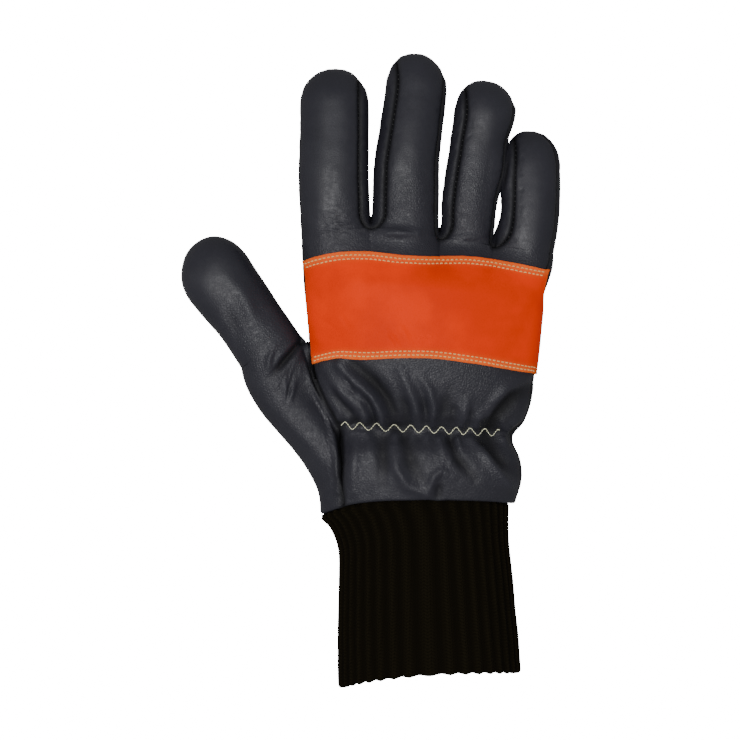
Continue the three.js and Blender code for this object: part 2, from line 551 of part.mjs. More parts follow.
// A closed sheet from faces of a skin. raise lifts its outer side off the skin, depth sinks single points.
function sheet(from, shared, faces, { wall, raise = 0, inset = 0, depth = () => 0 }) {
  const source = from.points;
  // In a fork, where two pieces face each other, a point follows its own piece.
  const normals = from.normals(faces).map((own, id) => (own.dot(shared[id]) < 0 ? own : shared[id]));
  const edges = new Map();
  for (const { corners } of faces) {
    corners.forEach((a, n) => {
      const b = corners[(n + 1) % corners.length];
      if (!edges.delete(`${b},${a}`)) edges.set(`${a},${b}`, [a, b]);
    });
  }
  const border = new Set([...edges.values()].flat());
  const pulls = new Map([...border].map((id) => [id, new THREE.Vector3()]));
  for (const { corners } of faces) {
    const middle = corners.reduce((sum, id) => sum.add(source[id]), new THREE.Vector3()).divideScalar(corners.length);
    corners.filter((id) => border.has(id)).forEach((id) => {
      const pull = middle.clone().sub(source[id]);
      pulls.get(id).add(pull.addScaledVector(normals[id], -pull.dot(normals[id])).normalize());
    });
  }
  const ids = [...new Set(faces.flatMap(({ corners }) => corners))];
  const slot = new Map(ids.map((id, n) => [id, n]));
  const outer = ids.map((id) => {
    const point = source[id].clone().addScaledVector(normals[id], raise - depth(id));
    return border.has(id) ? point.addScaledVector(pulls.get(id).normalize(), inset) : point;
  });
  const inner = ids.map((id, n) => outer[n].clone().addScaledVector(normals[id], -wall));
  const positions = [...outer, ...inner].flatMap((point) => [point.x, point.y, point.z]);
  const triangles = [];
  const fan = (corners) => corners.slice(2).forEach((_, n) => triangles.push(corners[0], corners[n + 1], corners[n + 2]));
  for (const { corners } of faces) {
    const top = corners.map((id) => slot.get(id));
    const [first, ...rest] = top.map((n) => n + ids.length);
    fan(top);
    fan([first, ...rest.reverse()]);
  }
  for (const [a, b] of edges.values()) {
    const [p, q] = [slot.get(a), slot.get(b)];
    fan([p, p + ids.length, q + ids.length, q]);
  }
  return new THREE.BufferGeometry()
    .setAttribute("position", new THREE.Float32BufferAttribute(positions, 3))
    .setIndex(triangles);
}

const glove = new THREE.Group();

function add(name, geometry, look) {
  geometry.computeVertexNormals();
  const mesh = new THREE.Mesh(geometry, new THREE.MeshStandardMaterial(look));
  mesh.name = name;
  glove.add(mesh);
}

const normals = skin.normals();
const pieces = skin.points.map(() => new Set());
skin.faces.forEach(({ piece, corners }) => corners.forEach((id) => pieces[id].add(piece)));
const seamDepth = (id) => (pieces[id].size > 1 ? SEAM_DEPTH : 0);
const leatherSheet = { wall: LEATHER_WALL, inset: PIECE_GAP, depth: seamDepth };

for (const name of ["back_panel", "palm_panel", "thumb", stripName(0), stripName(1), stripName(2)]) {
  const faces = skin.faces.filter((face) => face.piece === name);
  add(name, sheet(skin, normals, faces, leatherSheet), LEATHER);
}

const bandFaces = skin.faces.filter(({ hand, row }) => hand && row >= bandRows[0] && row < bandRows[1]);
add("knuckle_band", sheet(skin, normals, bandFaces, {
  wall: BAND_WALL, raise: PIECE_GAP + BAND_WALL, inset: BAND_INSET,
}), BAND_LEATHER);

// Cuff

const cuffSkin = new Skin();
const cuffDepths = new Map();
const CUFF_ANGLES = steps(RIB_COUNT * 2).map((t) => 360 * (1 - t));

// Below the hem the cuff follows its own rings.
function cuffPoint(down, degrees) {
  const ring = (column) => read(CUFF_RINGS, "down", column, down);
  const [left, right] = [-ring("left") * CUFF_WIDTH, ring("right") * CUFF_WIDTH];
  const [bottom, top] = [ring("bottom") * CUFF_THICKNESS, ring("top") * CUFF_THICKNESS];
  const [across, high] = ringPoint(radians(degrees), (right - left) / 2, (top - bottom) / 2, CUFF_SQUARENESS);
  const share = across / ((right - left) / 2);
  const slant = CUFF_END_SLANT * ((1 - share) / 2) ** 3;
  const y = mix(hemHeight(share), -CUFF_LENGTH - slant, down);
  return new THREE.Vector3((left + right) / 2 + across, y, (bottom + top) / 2 + high);
}

// Its top is tucked inside the leather, clear of the wall.
function tuckedPoint(height, degrees) {
  const clear = CUFF_CLEARANCE * (LEATHER_WALL + PIECE_GAP);
  const point = handRing(height / HAND_LENGTH, degrees, clear);
  const share = Math.cos(radians(degrees));
  point.y = hemHeight(Math.sign(share) * Math.abs(share) ** (2 / HAND_SQUARENESS)) + height;
  point.z = Math.max(point.z, clear);
  return point;
}

const cuffRows = [
  ...[1, 0.78, 0.56, 0.36, 0.2, 0.08, 0.03].map((down) => CUFF_ANGLES.map((degrees) => cuffPoint(down, degrees))),
  ...[0, CUFF_TUCK / 2, CUFF_TUCK].map((height) => CUFF_ANGLES.map((degrees) => tuckedPoint(height, degrees))),
];
cuffRows.forEach((row) => row.forEach((point, c) => {
  cuffDepths.set(cuffSkin.vertex(point), c % 2 ? RIB_DEPTH : 0);
}));
cuffSkin.grid("knit_cuff", cuffRows);
add("knit_cuff", sheet(cuffSkin, cuffSkin.normals(), cuffSkin.faces, {
  wall: KNIT_WALL, depth: (id) => cuffDepths.get(id),
}), KNIT);

// The part stands over the middle of its outline, on the floor.
const bounds = new THREE.Box3().setFromObject(glove);
const shift = bounds.getCenter(new THREE.Vector3()).negate().setZ(-bounds.min.z);
glove.children.forEach((mesh) => mesh.geometry.translate(shift.x, shift.y, shift.z));

export default glove;
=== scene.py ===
# Looks of a right-hand leather work glove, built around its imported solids.
# Everything is in metres. The glove's own coordinates run across the hand (X), from the hem to the
# fingertips (Y) and up through the back of the hand (Z), with X at 0 in the middle of the knuckles.
import math
from functools import lru_cache

import bpy
import numpy as np
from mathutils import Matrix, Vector, noise
from mathutils.bvhtree import BVHTree
from mathutils.kdtree import KDTree


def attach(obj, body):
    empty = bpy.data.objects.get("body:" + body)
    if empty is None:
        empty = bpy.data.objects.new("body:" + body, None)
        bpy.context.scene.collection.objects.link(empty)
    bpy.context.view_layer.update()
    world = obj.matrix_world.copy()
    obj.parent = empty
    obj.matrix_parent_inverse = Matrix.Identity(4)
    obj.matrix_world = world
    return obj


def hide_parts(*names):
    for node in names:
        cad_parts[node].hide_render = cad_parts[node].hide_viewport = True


bl_info = {
    "name": "Leather Work Glove",
    "version": (1, 0, 0),
    "blender": (4, 5, 0),
    "location": "3D Viewport > Sidebar > Work Glove",
    "description": "Dresses the solids of a leather work glove with sewn leather, stitches and a knit cuff",
    "category": "Add Mesh",
}

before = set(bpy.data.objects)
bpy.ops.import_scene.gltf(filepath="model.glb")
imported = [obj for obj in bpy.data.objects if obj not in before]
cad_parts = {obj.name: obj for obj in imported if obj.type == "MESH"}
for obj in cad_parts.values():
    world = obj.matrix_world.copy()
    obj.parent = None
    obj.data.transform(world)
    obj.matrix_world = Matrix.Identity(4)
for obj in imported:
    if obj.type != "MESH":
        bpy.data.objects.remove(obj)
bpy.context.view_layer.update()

MM = 0.001

# Where the glove's own zero lies in the frame: the middle of the solids' outline is at the frame's zero.
OWN_ZERO = np.array([26.2095, -59.255, 0.0039]) * MM

# The solids' sizes, which the leather follows
HAND_LENGTH = 120 * MM
HAND_THICKNESS = 36 * MM
HAND_SQUARENESS = 2.3
EDGE_HEIGHT = 0.42
HEM_DROP_THUMB = 6.5 * MM
HEM_DROP_LITTLE = 1.9 * MM
KNUCKLE_BLEND = 24 * MM
FINGER_FLATNESS = 0.8
FINGER_SQUARENESS = 2.2
FINGERTIP_LENGTH = 17 * MM
FORK_ROUND = 7 * MM
FORK_SLOPE = 6 * MM
SKEW_LENGTH = 26 * MM
STRIP_ANGLE = 37
STRIP_END = 0.965
INDEX_SEAM_ANGLE = 8
LITTLE_SEAM_ANGLE = 27
RIGHT_SEAM_ANGLE = 26
RIGHT_SEAM_LOW = 6
THUMB_WIDTH = 31 * MM
THUMB_REACH = 58.6 * MM
THUMB_SPREAD = math.radians(36)
THUMB_FLATNESS = 0.8
THUMB_STEP = 9.2 * MM
THUMB_ASIDE = 2.4 * MM
THUMB_HEEL_BULGE = 1.5 * MM
THUMB_HEEL_TURN = math.radians(22)
THUMB_FORK_AT = 0.625
THUMB_TIP_LENGTH = 21 * MM
THUMB_SEAM_UNDER = 52
THUMB_SEAM_TURN = 0.625
HEM_STRAIGHT = 18 * MM
FORK_STRAIGHT = 0.3
BAND_FROM = 0.52
BAND_TO = 0.925
ELASTIC_AT = 0.265
CUFF_LENGTH = 78.3 * MM
CUFF_WIDTH = 83 * MM
CUFF_THICKNESS = 27 * MM
CUFF_TUCK = 7 * MM
CUFF_CLEAR = 1.45 * 2.15 * MM
CUFF_END_SLANT = 7 * MM
CUFF_SQUARENESS = 2.4
RIB_COUNT = 38

# The lining of a sheet has one face for this many squared of the outer side
COARSE = 4

# Rows of points in the thumb's root, and the distance between those of the cuff
JOIN_ROWS = 20 * COARSE
KNIT_STEP = 0.9 * MM

# Widths that the columns of points are counted for: one finger's share of the back, a strip, the thumb's hem
STRETCH_WIDTH = 31 * MM
STRIP_WIDTH = 15 * MM
THUMB_HEM_WIDTH = 26 * MM

# The thumb's root is rounded off between its seam and its first ring
ROUNDING_PASSES = 40
ROUNDING_FROM = 0.16
ROUNDING_UNTIL = 0.2

# Lining of the thumb: how much deeper it lies where it is high
THUMB_LINING_SAG = 2.2 * MM

# Ends of the elastic line in the glove's own millimetres, and of the zigzag on it
ELASTIC_LEFT = (-38.5, 34.3)
ELASTIC_RIGHT = (33.5, 30.8)
ZIGZAG_ENDS = (-39.4 * MM, 33.4 * MM)
ZIGZAG_POINTS = 900
ZIGZAG_ROUNDNESS = 0.8

# Where the ring and the little finger touch, in the glove's own millimetres, and how far they swell there
TOUCH_MIDDLE = (32, 150)
TOUCH_REACH = (5, 9)
TOUCH_SWELL = 2.4 * MM

# How far the band's whole edge is pulled in
BAND_PULL = 0.45 * MM

# The stitches that show in the seams: from one to the next, across the seam, along it, and share of its depth
SEAM_STITCH_PITCH = 2.4 * MM
SEAM_STITCH_ACROSS = 0.75 * MM
SEAM_STITCH_ALONG = 0.3 * MM
SEAM_STITCH_DEPTH = 0.8
SEAM_STITCH_THREAD = 0.42 * MM

# They stop before the fingertips, at this share of a finger's rows
SEAM_STITCH_END = 0.86

# The stage
FLOOR_WIDTH = 12
SOFT_BOX_PLACE = (-0.24, -0.06, 1.8)
SOFT_BOX_SIZE = (0.75, 0.75)
SIDE_STRIP_PLACE = (-1.3, 0.1, 0.8)
SIDE_STRIP_SIZE = (0.4, 1.6)


def table(columns, *rows):
    """Rows of numbers as a dict of named columns."""
    return {name: np.array([row[n] for row in rows], float) for n, name in enumerate(columns.split())}


# left, right: edges as shares of half the knuckle width; top, bottom: heights as shares of the hand's
# thickness; seam: degrees of the back's seam above the left edge.
HAND_RINGS = table(
    "at left right top bottom seam",
    (0.0, 0.845, 0.69, 0.83, -0.03, 42),
    (0.1, 0.865, 0.742, 0.9, -0.06, 42),
    (0.18, 0.865, 0.732, 0.88, -0.07, 42.5),
    (0.265, 0.86, 0.672, 0.74, -0.07, 41),
    (0.33, 0.88, 0.765, 0.86, -0.07, 36),
    (0.42, 0.915, 0.825, 0.95, -0.05, 27),
    (0.52, 0.945, 0.842, 1.0, -0.02, 18),
    (0.625, 0.937, 0.865, 1.02, 0.02, 15),
    (0.8, 0.967, 0.9, 1.0, 0.07, 12),
    (0.9, 0.985, 0.937, 0.96, 0.1, 16),
    (1.0, 1.0, 1.0, 0.9, 0.12, 8),
)

# Each finger's stations: how far aside, how wide and how high it lies, as shares of its width.
FINGER_COLUMNS = "at aside wide lift"
FINGERS = [
    {"name": "index", "width": 32.2 * MM, "length": 75.2 * MM, "roll": -5, "stations": table(
        FINGER_COLUMNS,
        (0.0, 0.0, 0.975, 0.13), (0.35, -0.03, 1.0, 0.15), (0.7, -0.02, 0.975, 0.08),
        (1.0, -0.03, 0.95, 0.0))},
    {"name": "middle", "width": 31.5 * MM, "length": 82.5 * MM, "roll": 14, "stations": table(
        FINGER_COLUMNS,
        (0.0, 0.0, 0.965, 0.14), (0.37, 0.012, 0.945, 0.17), (0.6, 0.09, 0.915, 0.12),
        (0.82, 0.155, 0.885, 0.03), (1.0, 0.12, 0.85, 0.0))},
    {"name": "ring", "width": 24.5 * MM, "length": 74.2 * MM, "roll": 15, "stations": table(
        FINGER_COLUMNS,
        (0.0, 0.0, 0.955, 0.15), (0.26, 0.065, 1.04, 0.17), (0.63, 0.245, 1.1, 0.1),
        (0.81, 0.345, 1.16, 0.03), (1.0, 0.3, 1.15, 0.0))},
    {"name": "little", "width": 27.9 * MM, "length": 55.6 * MM, "roll": 17, "stations": table(
        FINGER_COLUMNS,
        (0.0, 0.0, 0.965, 0.11), (0.22, 0.085, 0.965, 0.12), (0.57, 0.12, 0.965, 0.06),
        (0.8, 0.125, 0.935, 0.02), (1.0, 0.08, 0.93, 0.0))},
]
KNUCKLE_LINE = [1.0, 1.037, 0.998, 0.966, 0.93]
THUMB_STATIONS = table(
    FINGER_COLUMNS,
    (0.0, -0.03, 0.99, 0.12), (0.25, -0.01, 0.98, 0.1), (0.55, -0.02, 1.05, 0.05), (0.8, -0.01, 1.08, 0.01),
    (1.0, 0.03, 1.04, 0.0))
CUFF_RINGS = table(
    "at left right top bottom",
    (0.03, 0.586, 0.449, 0.95, 0.08),
    (0.08, 0.538, 0.447, 0.94, 0.06),
    (0.2, 0.494, 0.45, 0.89, 0.0),
    (0.36, 0.492, 0.464, 0.9, 0.0),
    (0.7, 0.497, 0.494, 0.95, 0.0),
    (1.0, 0.494, 0.517, 1.0, 0.0),
)

KNUCKLE_X = [-sum(finger["width"] for finger in FINGERS) / 2]
for finger in FINGERS:
    KNUCKLE_X.append(KNUCKLE_X[-1] + finger["width"])
HALF_KNUCKLES = KNUCKLE_X[-1]
KNUCKLE_Y = [share * HAND_LENGTH for share in KNUCKLE_LINE]
KNUCKLE_LEVELS = HAND_LENGTH * np.array([0.993, 1.022, 0.999, 0.972, 0.942])
KNUCKLE_CURVE = {"at": np.array(KNUCKLE_X), "level": KNUCKLE_LEVELS}

# The band's long edges: height at places across the hand
BAND_EDGES = {
    "at": np.array([-55.5, -51.5, -41, -28, -12, 2, 20, 37, 52]) * MM,
    "high": np.array([109.5, 111.0, 113.0, 113.2, 111.4, 110.7, 110.7, 108.3, 105.6]) * MM,
    "low": np.array([60.6, 61.9, 64.2, 63.8, 64.5, 64.3, 62.1, 59.2, 56.7]) * MM,
}

# How far the band's left end keeps from the seam beside it, from its lower corner up to its upper one
BAND_LEFT = {
    "at": np.array([0, 0.12, 0.25, 0.55, 0.72, 1.0]),
    "inset": np.array([2.4, 1.2, 0.5, 0.5, 1.7, 1.9]) * MM,
}

# Places of the zigzag's upper turns across the wrist
ZIGZAG_TURNS = np.array([-37.6, -30.9, -23.2, -15.2, -7.7, -0.7, 6.2, 12.9, 19.2, 25.9, 32.2]) * MM


def stroke(high, wide, start, end, *path):
    """A stroke pressed into the top of the leather, in the glove's own millimetres. high: of a ridge, below
    0 of a valley; wide: from its crest to where it fades; start, end: share of its height left there."""
    return {"path": path, "high": high, "wide": wide, "start": start, "end": end}


STROKES = [
    # Gathers that fan out above the elastic line
    stroke(3.1, 2.56, 0.5, 0.8, (-40, 61.6), (-32, 54), (-25, 47.4), (-20.8, 39), (-20.3, 34.5)),
    stroke(-2.6, 3.29, 0.6, 0.7, (-34, 61), (-25.2, 53.8), (-19, 46.4), (-15.6, 39), (-15, 34.5)),
    stroke(1.9, 3.17, 0.4, 0.7, (-46.9, 60.6), (-43.9, 53.3), (-37, 46.9), (-31, 42.4), (-28.2, 37.5)),
    stroke(-0.6, 0.8, 0.2, 0.2, (-39, 57.5), (-33, 50.5)),
    stroke(-0.6, 0.8, 0.2, 0.2, (-37, 52.5), (-31.5, 47)),
    stroke(0.4, 0.8, 0.2, 0.2, (-36.5, 57), (-30.5, 50.5)),
    stroke(-1.7, 2.2, 0.3, 0.8, (-47, 57), (-41.6, 47.5), (-35.8, 40.5), (-33.5, 35.5)),
    stroke(-1.7, 1.95, 0.2, 1, (-31, 50), (-26.6, 43), (-24.3, 35.5)),
    stroke(1.9, 2.68, 0.4, 0.9, (-12.9, 60.2), (-8.5, 50.3), (-6, 43.9), (-4.4, 37), (-4.2, 34)),
    stroke(-1.4, 2.2, 0.2, 1, (-13.5, 50.5), (-10.2, 43), (-8.6, 35.5)),
    stroke(-1.4, 1.83, 0.2, 1, (-3.7, 50), (-1.9, 43), (-1, 35.5)),
    stroke(1.8, 2.2, 0.3, 1, (-3.6, 56.7), (0.8, 49.8), (2.8, 42.4), (2.3, 34.5)),
    stroke(-1.3, 2.68, 0.3, 0.9, (9.4, 50), (7.4, 43), (6.5, 35.5)),
    stroke(1.6, 2.2, 0.5, 0.9, (17.5, 45), (16.1, 39), (15.6, 34.5)),
    stroke(-0.9, 1.8, 0.2, 1, (11.6, 46), (11.4, 35.5)),
    stroke(-1.1, 1.4, 0.2, 1, (20.2, 43.5), (19.4, 35)),
    stroke(1.2, 1.59, 0.4, 0.9, (24.2, 40.5), (22.5, 33.5)),
    stroke(1.9, 2.56, 0.5, 0.6, (45.6, 55.9), (35.6, 50.5), (30.4, 45), (27.4, 39)),
    stroke(-3.0, 3.66, 0.5, 1, (48, 51.5), (38.8, 46.6), (32.5, 39.9), (28.4, 34)),
    stroke(1.4, 1.34, 0.8, 0.4, (36.8, 31.5), (38.7, 34.5), (42.2, 36.8)),
    stroke(-1.8, 1.59, 0.8, 0.6, (38.7, 30.8), (41.2, 33.2), (43.4, 34.2)),
    # Folds between the elastic line and the hem
    stroke(1.9, 3.05, 0.8, 0.5, (-32.4, 30.5), (-33.4, 19.3), (-34.4, 4.6)),
    stroke(0.9, 2.2, 0.9, 0.1, (-26.6, 29.5), (-27.2, 18)),
    stroke(-1.8, 3.05, 1, 0.3, (-21, 29.5), (-20.2, 18), (-20.8, 8)),
    stroke(1.7, 2.56, 0.3, 0.7, (-15.4, 24.3), (-14.5, 15.4), (-9.5, 7), (-3.6, 4.4)),
    stroke(-1.7, 3.42, 1, 0.4, (-10, 29), (-8.2, 18.5), (-4.6, 11)),
    stroke(1.4, 2.07, 0.7, 0.3, (-0.2, 3), (2.7, 11.4), (6.2, 13.8), (11, 11)),
    stroke(-1.2, 1.95, 0.9, 0.3, (4.6, 2.5), (5.3, 8.5)),
    stroke(-2.0, 2.44, 1, 0.3, (10.6, 28), (13.6, 19.3), (21, 10)),
    stroke(0.8, 1.4, 1, 0.2, (4.6, 28.5), (7.6, 21)),
    stroke(1.3, 1.34, 1, 0.2, (13.3, 28), (14.7, 22)),
    stroke(2.1, 2.32, 0.5, 0.8, (18.6, 28), (24.5, 23.6), (30.5, 15.4), (37, 7)),
    stroke(-2.5, 3.42, 1, 0.4, (27.2, 27.5), (33.2, 18.8), (40.5, 12.5)),
    stroke(1.0, 1.2, 1, 0.1, (34.5, 28.5), (38, 22)),
    # The seam beside the thumb, and the thumb's heel
    stroke(0.9, 1.4, 0.5, 0.9,
           (-55, 62), (-52.6, 53.5), (-47.8, 43.6), (-43.6, 31.5), (-41.5, 19.3), (-41, 4)),
    stroke(0.8, 1.8, 0.2, 0.6, (-43.4, 12), (-44.9, 6.5), (-47.9, 0.6)),
    # The thumb and its root
    stroke(1.1, 3.4, 0.2, 0.2, (-91.4, 102), (-84.1, 94.5), (-79.7, 83.6), (-75.3, 73.6)),
    stroke(0.8, 2.2, 0.2, 0.2, (-95.1, 84.6), (-93.4, 76.3), (-89, 70), (-83, 60)),
    stroke(-0.6, 2.6, 0.1, 0.1, (-93, 92), (-88, 80), (-83.5, 70)),
    stroke(-2.4, 1.5, 0.9, 0.15, (-56.5, 73.5), (-64.7, 63.6), (-71.9, 55.9)),
    stroke(1.1, 1.5, 0.2, 0.2, (-69.7, 70.2), (-71.9, 64.7), (-73, 57.5)),
    stroke(0.8, 1.2, 0.2, 0.2, (-62, 71), (-67.2, 66), (-69.7, 61)),
    stroke(1.0, 1.2, 0.2, 0.2, (-59.8, 55.5), (-63.2, 43.5)),
    stroke(0.8, 1.0, 0.2, 0.2, (-64.2, 56), (-65, 45.5)),
    stroke(-0.7, 0.8, 0.2, 0.2, (-61.9, 55), (-64, 46)),
    # The knuckles and the roots of the fingers
    stroke(2.2, 2.4, 0.2, 0.4, (-23, 121.4), (-14, 121.6), (-5, 121.6)),
    stroke(0.7, 1.9, 0.2, 0.3, (10, 119.2), (17, 119.6), (25, 120.6)),
    stroke(0.5, 1.1, 0.3, 0.3, (38.9, 160), (40.4, 146), (39.3, 130)),
]

# Creases of the band
BAND_CREASES = [
    stroke(-0.45, 1.3, 0.2, 0.1, (-50, 84), (-43, 79), (-37, 73.5)),
    stroke(-0.3, 1.1, 0.1, 0.1, (-41, 87), (-36.5, 80), (-33, 76)),
    stroke(0.4, 2.0, 0.2, 0.1, (-52, 76), (-45, 71)),
    stroke(-0.4, 1.2, 0.1, 0.3, (-20, 79), (-15, 73), (-12, 68)),
    stroke(0.3, 1.5, 0.1, 0.1, (-15, 82), (-11, 76), (-8, 70)),
    stroke(-0.25, 2.4, 0.1, 0.1, (-32, 100), (-20, 102), (-8, 100)),
    stroke(-0.3, 3.0, 0.1, 0.1, (20, 70), (34, 76), (46, 74)),
]

# Fields of fine wrinkles: middle and half size in millimetres, depth, and the wrinkles' length and breadth.
WRINKLES = [
    {"middle": (-41, 125), "reach": (10, 11), "deep": 0.45, "grain": (5.5, 1.5), "turn": -8},
    {"middle": (-13, 133), "reach": (9, 10), "deep": 0.1, "grain": (4.0, 2.0), "turn": 0},
    {"middle": (-64, 55), "reach": (10, 12), "deep": 0.26, "grain": (2.0, 7.0), "turn": -15},
    {"middle": (-30, 48), "reach": (12, 10), "deep": 0.24, "grain": (2.0, 9.0), "turn": 35},
    {"middle": (8, 40), "reach": (22, 8), "deep": 0.16, "grain": (2.2, 8.0), "turn": 4},
    {"middle": (0, 20), "reach": (34, 12), "deep": 0.16, "grain": (2.6, 9.0), "turn": -4},
    {"middle": (-44, 28), "reach": (6, 20), "deep": 0.2, "grain": (1.8, 6.0), "turn": 12},
]


# Sizes and colours that a user would change

def length(name, description, default):
    return bpy.props.FloatProperty(
        name=name, description=description, default=default, min=0.0, unit="LENGTH", subtype="DISTANCE",
        precision=5)


def colour(name, description, default):
    return bpy.props.FloatVectorProperty(
        name=name, description=description, default=default, size=3, min=0.0, max=1.0, subtype="COLOR")


class GloveLeatherSizes(bpy.types.PropertyGroup):
    """Sizes of the grey leather."""
    fineness: length("Fineness", "Width of one face of the outer side of the leather", 0.66 * MM)
    wall: length("Wall", "Thickness of the leather", 1.8 * MM)
    roll: length("Seam Roll", "How far from a seam the leather starts to roll down into it", 3.2 * MM)
    seam_depth: length("Seam Depth", "How deep a seam lies in the leather", 2.5 * MM)
    hem_roll: length("Hem Roll", "How far from the hem the leather starts to turn in", 1.7 * MM)
    hem_depth: length("Hem Depth", "How far the hem turns in", 0.9 * MM)
    gap: length("Seam Gap", "Half the slit that is left between two pieces in a seam", 0.12 * MM)
    folds: bpy.props.FloatProperty(
        name="Folds", description="Strength of the folds and wrinkles", default=1.0, min=0.0,
        subtype="FACTOR")
    pucker: length("Seam Pucker", "Height of the small puckers along a seam", 0.28 * MM)


class GloveBandSizes(bpy.types.PropertyGroup):
    """Sizes of the knuckle band."""
    wall: length("Wall", "Thickness of the band's leather", 1.2 * MM)
    lift: length("Lift", "Space between the band and the back of the hand", 0.3 * MM)
    fray: length("Rough Edge", "How far the band's cut edges wander", 0.32 * MM)
    first_row: length("First Row", "Distance of the outer row of stitches from the band's edge", 1.7 * MM)
    second_row: length("Second Row", "Distance of the inner row of stitches from the band's edge", 3.4 * MM)
    stitch_pitch: length("Stitch Pitch", "Length of one stitch with the gap after it", 2.05 * MM)
    stitch_share: bpy.props.FloatProperty(
        name="Stitch Share", description="Share of the pitch that the thread lies on top", default=0.74,
        min=0.1, max=0.95, subtype="FACTOR")
    thread: length("Thread", "Diameter of the band's thread", 0.62 * MM)


class GloveElasticSizes(bpy.types.PropertyGroup):
    """Sizes of the zigzag seam over the elastic."""
    height: length("Height", "Height of the zigzag from peak to trough", 3.6 * MM)
    stitch: length("Stitch", "Length of one stitch of the zigzag", 1.3 * MM)
    thread: length("Thread", "Diameter of the thread", 0.42 * MM)


class GloveCuffSizes(bpy.types.PropertyGroup):
    """Sizes of the knit cuff."""
    wall: length("Wall", "Thickness of the knit", 2.2 * MM)
    rib_depth: length("Rib Depth", "Depth of the grooves between the ribs", 0.9 * MM)
    row: length("Knit Row", "Height of one row of loops", 1.5 * MM)
    scallop: length("Scallop", "How far each rib bulges at the cuff's open end", 0.7 * MM)


class GloveColours(bpy.types.PropertyGroup):
    """Colours of the leathers, threads and yarn."""
    leather: colour("Leather", "Slate grey of the leather", (0.0200, 0.0196, 0.0270))
    # This lighter grey is used for broad patches and specks at random, and as a painted highlight on the
    # crests of the folds.
    leather_lighter_and_highlight: colour("Rubbed Leather", "Lighter grey of its raised places", (0.0280, 0.0277, 0.0365))
    band: colour("Band", "Orange of the knuckle band", (0.93, 0.040, 0.0))
    band_edge: colour("Band Edge", "Paler orange of the band's raw edges", (1.0, 0.27, 0.04))
    band_thread: colour("Band Thread", "Pale orange thread", (1.0, 0.60, 0.20))
    zigzag_thread: colour("Zigzag Thread", "Pale yellow thread", (1.0, 1.0, 0.70))
    seam_thread: colour("Seam Thread", "Grey thread of the seams", (0.016, 0.016, 0.017))
    knit: colour("Knit", "Black yarn", (0.0044, 0.0033, 0.0013))
    floor: colour("Floor", "Pale floor", (0.88, 0.88, 0.88))


class GloveStageSizes(bpy.types.PropertyGroup):
    """Camera, floor and lights."""
    view_width: length("View Width", "Width that the camera sees at the glove's edges", 338.5 * MM)
    view_level: length("View Level", "Height of the widest outline of the glove", 13 * MM)
    camera_height: length("Camera Height", "Height of the camera above the floor", 1.7)
    floor_glow: bpy.props.FloatProperty(
        name="Floor Glow", description="Brightness of the floor as the camera sees it", default=16.0, min=0.0)
    room_light: bpy.props.FloatProperty(
        name="Room Light", description="Brightness of the room around the glove", default=0.36, min=0.0)
    soft_box: bpy.props.FloatProperty(
        name="Soft Box", description="Power of the large soft light above", default=24.0, min=0.0,
        unit="POWER")
    side_strip: bpy.props.FloatProperty(
        name="Side Strip", description="Power of the strip light at the thumb side", default=1.0, min=0.0,
        unit="POWER")
    aim_x: bpy.props.FloatProperty(
        name="Aim X", description="Where the camera points, across", default=-0.11 * MM, unit="LENGTH")
    aim_y: bpy.props.FloatProperty(
        name="Aim Y", description="Where the camera points, along", default=0.204 * MM, unit="LENGTH")


# Formulas of the glove's form

def mix(a, b, t):
    return a + (b - a) * t


def ease(t):
    t = np.clip(t, 0.0, 1.0)
    return t * t * (3 - 2 * t)


def round_end(t, power):
    return (1 - (1 - np.clip(t, 0.0, 1.0)) ** power) ** (1 / power)


def read(rows, column, at):
    """A table's column at a station, on a smooth curve through its rows."""
    place, value = rows["at"], rows[column]
    at = np.asarray(at, float)
    i = np.clip(np.searchsorted(place, at, side="left") - 1, 0, len(place) - 2)
    before, after = np.maximum(i - 1, 0), np.minimum(i + 2, len(place) - 1)
    span = place[i + 1] - place[i]
    slope = (value[i + 1] - value[before]) / (place[i + 1] - place[before])
    next_slope = (value[after] - value[i]) / (place[after] - place[i])
    t = np.clip((at - place[i]) / span, 0.0, 1.0)
    t2, t3 = t * t, t * t * t
    return (value[i] * (2 * t3 - 3 * t2 + 1) + value[i + 1] * (3 * t2 - 2 * t3)
            + span * (slope * (t3 - 2 * t2 + t) + next_slope * (t3 - t2)))


def signed_power(value, power):
    return np.sign(value) * np.abs(value) ** power


def ring_point(degrees, half_width, half_height, squareness):
    """Across and height of a point of a squared-off ring, from its middle."""
    angle = np.radians(degrees)
    return (half_width * signed_power(np.cos(angle), 2 / squareness),
            half_height * signed_power(np.sin(angle), 2 / squareness))


def points(x, y, z):
    return np.stack(np.broadcast_arrays(x, y, z), axis=-1).astype(float)


def seam_angles(i, at):
    """Degrees of a finger's seams: back left, back right, palm left, palm right."""
    turn = FINGERS[i]["roll"]
    end = round_end((1 - at) * FINGERS[i]["length"] / FINGERTIP_LENGTH, FINGER_SQUARENESS)

    def straight(angle):
        """The seam keeps its distance from the finger's middle until the rounded end takes it in."""
        share = math.cos(math.radians(angle)) / np.maximum(end, 0.01) ** (FINGER_SQUARENESS / 2)
        return np.degrees(np.arccos(np.minimum(share, 1.0)))

    left = [straight(STRIP_ANGLE + turn), straight(STRIP_ANGLE - turn)]
    right = [straight(STRIP_ANGLE - turn), straight(STRIP_ANGLE + turn)]
    if i == 0:
        left = [INDEX_SEAM_ANGLE, -INDEX_SEAM_ANGLE]
    if i == 3:
        right = [LITTLE_SEAM_ANGLE, -LITTLE_SEAM_ANGLE]
    return 180 - left[0] + 0 * at, right[0] + 0 * at, 180 + left[1] + 0 * at, 360 - right[1] + 0 * at


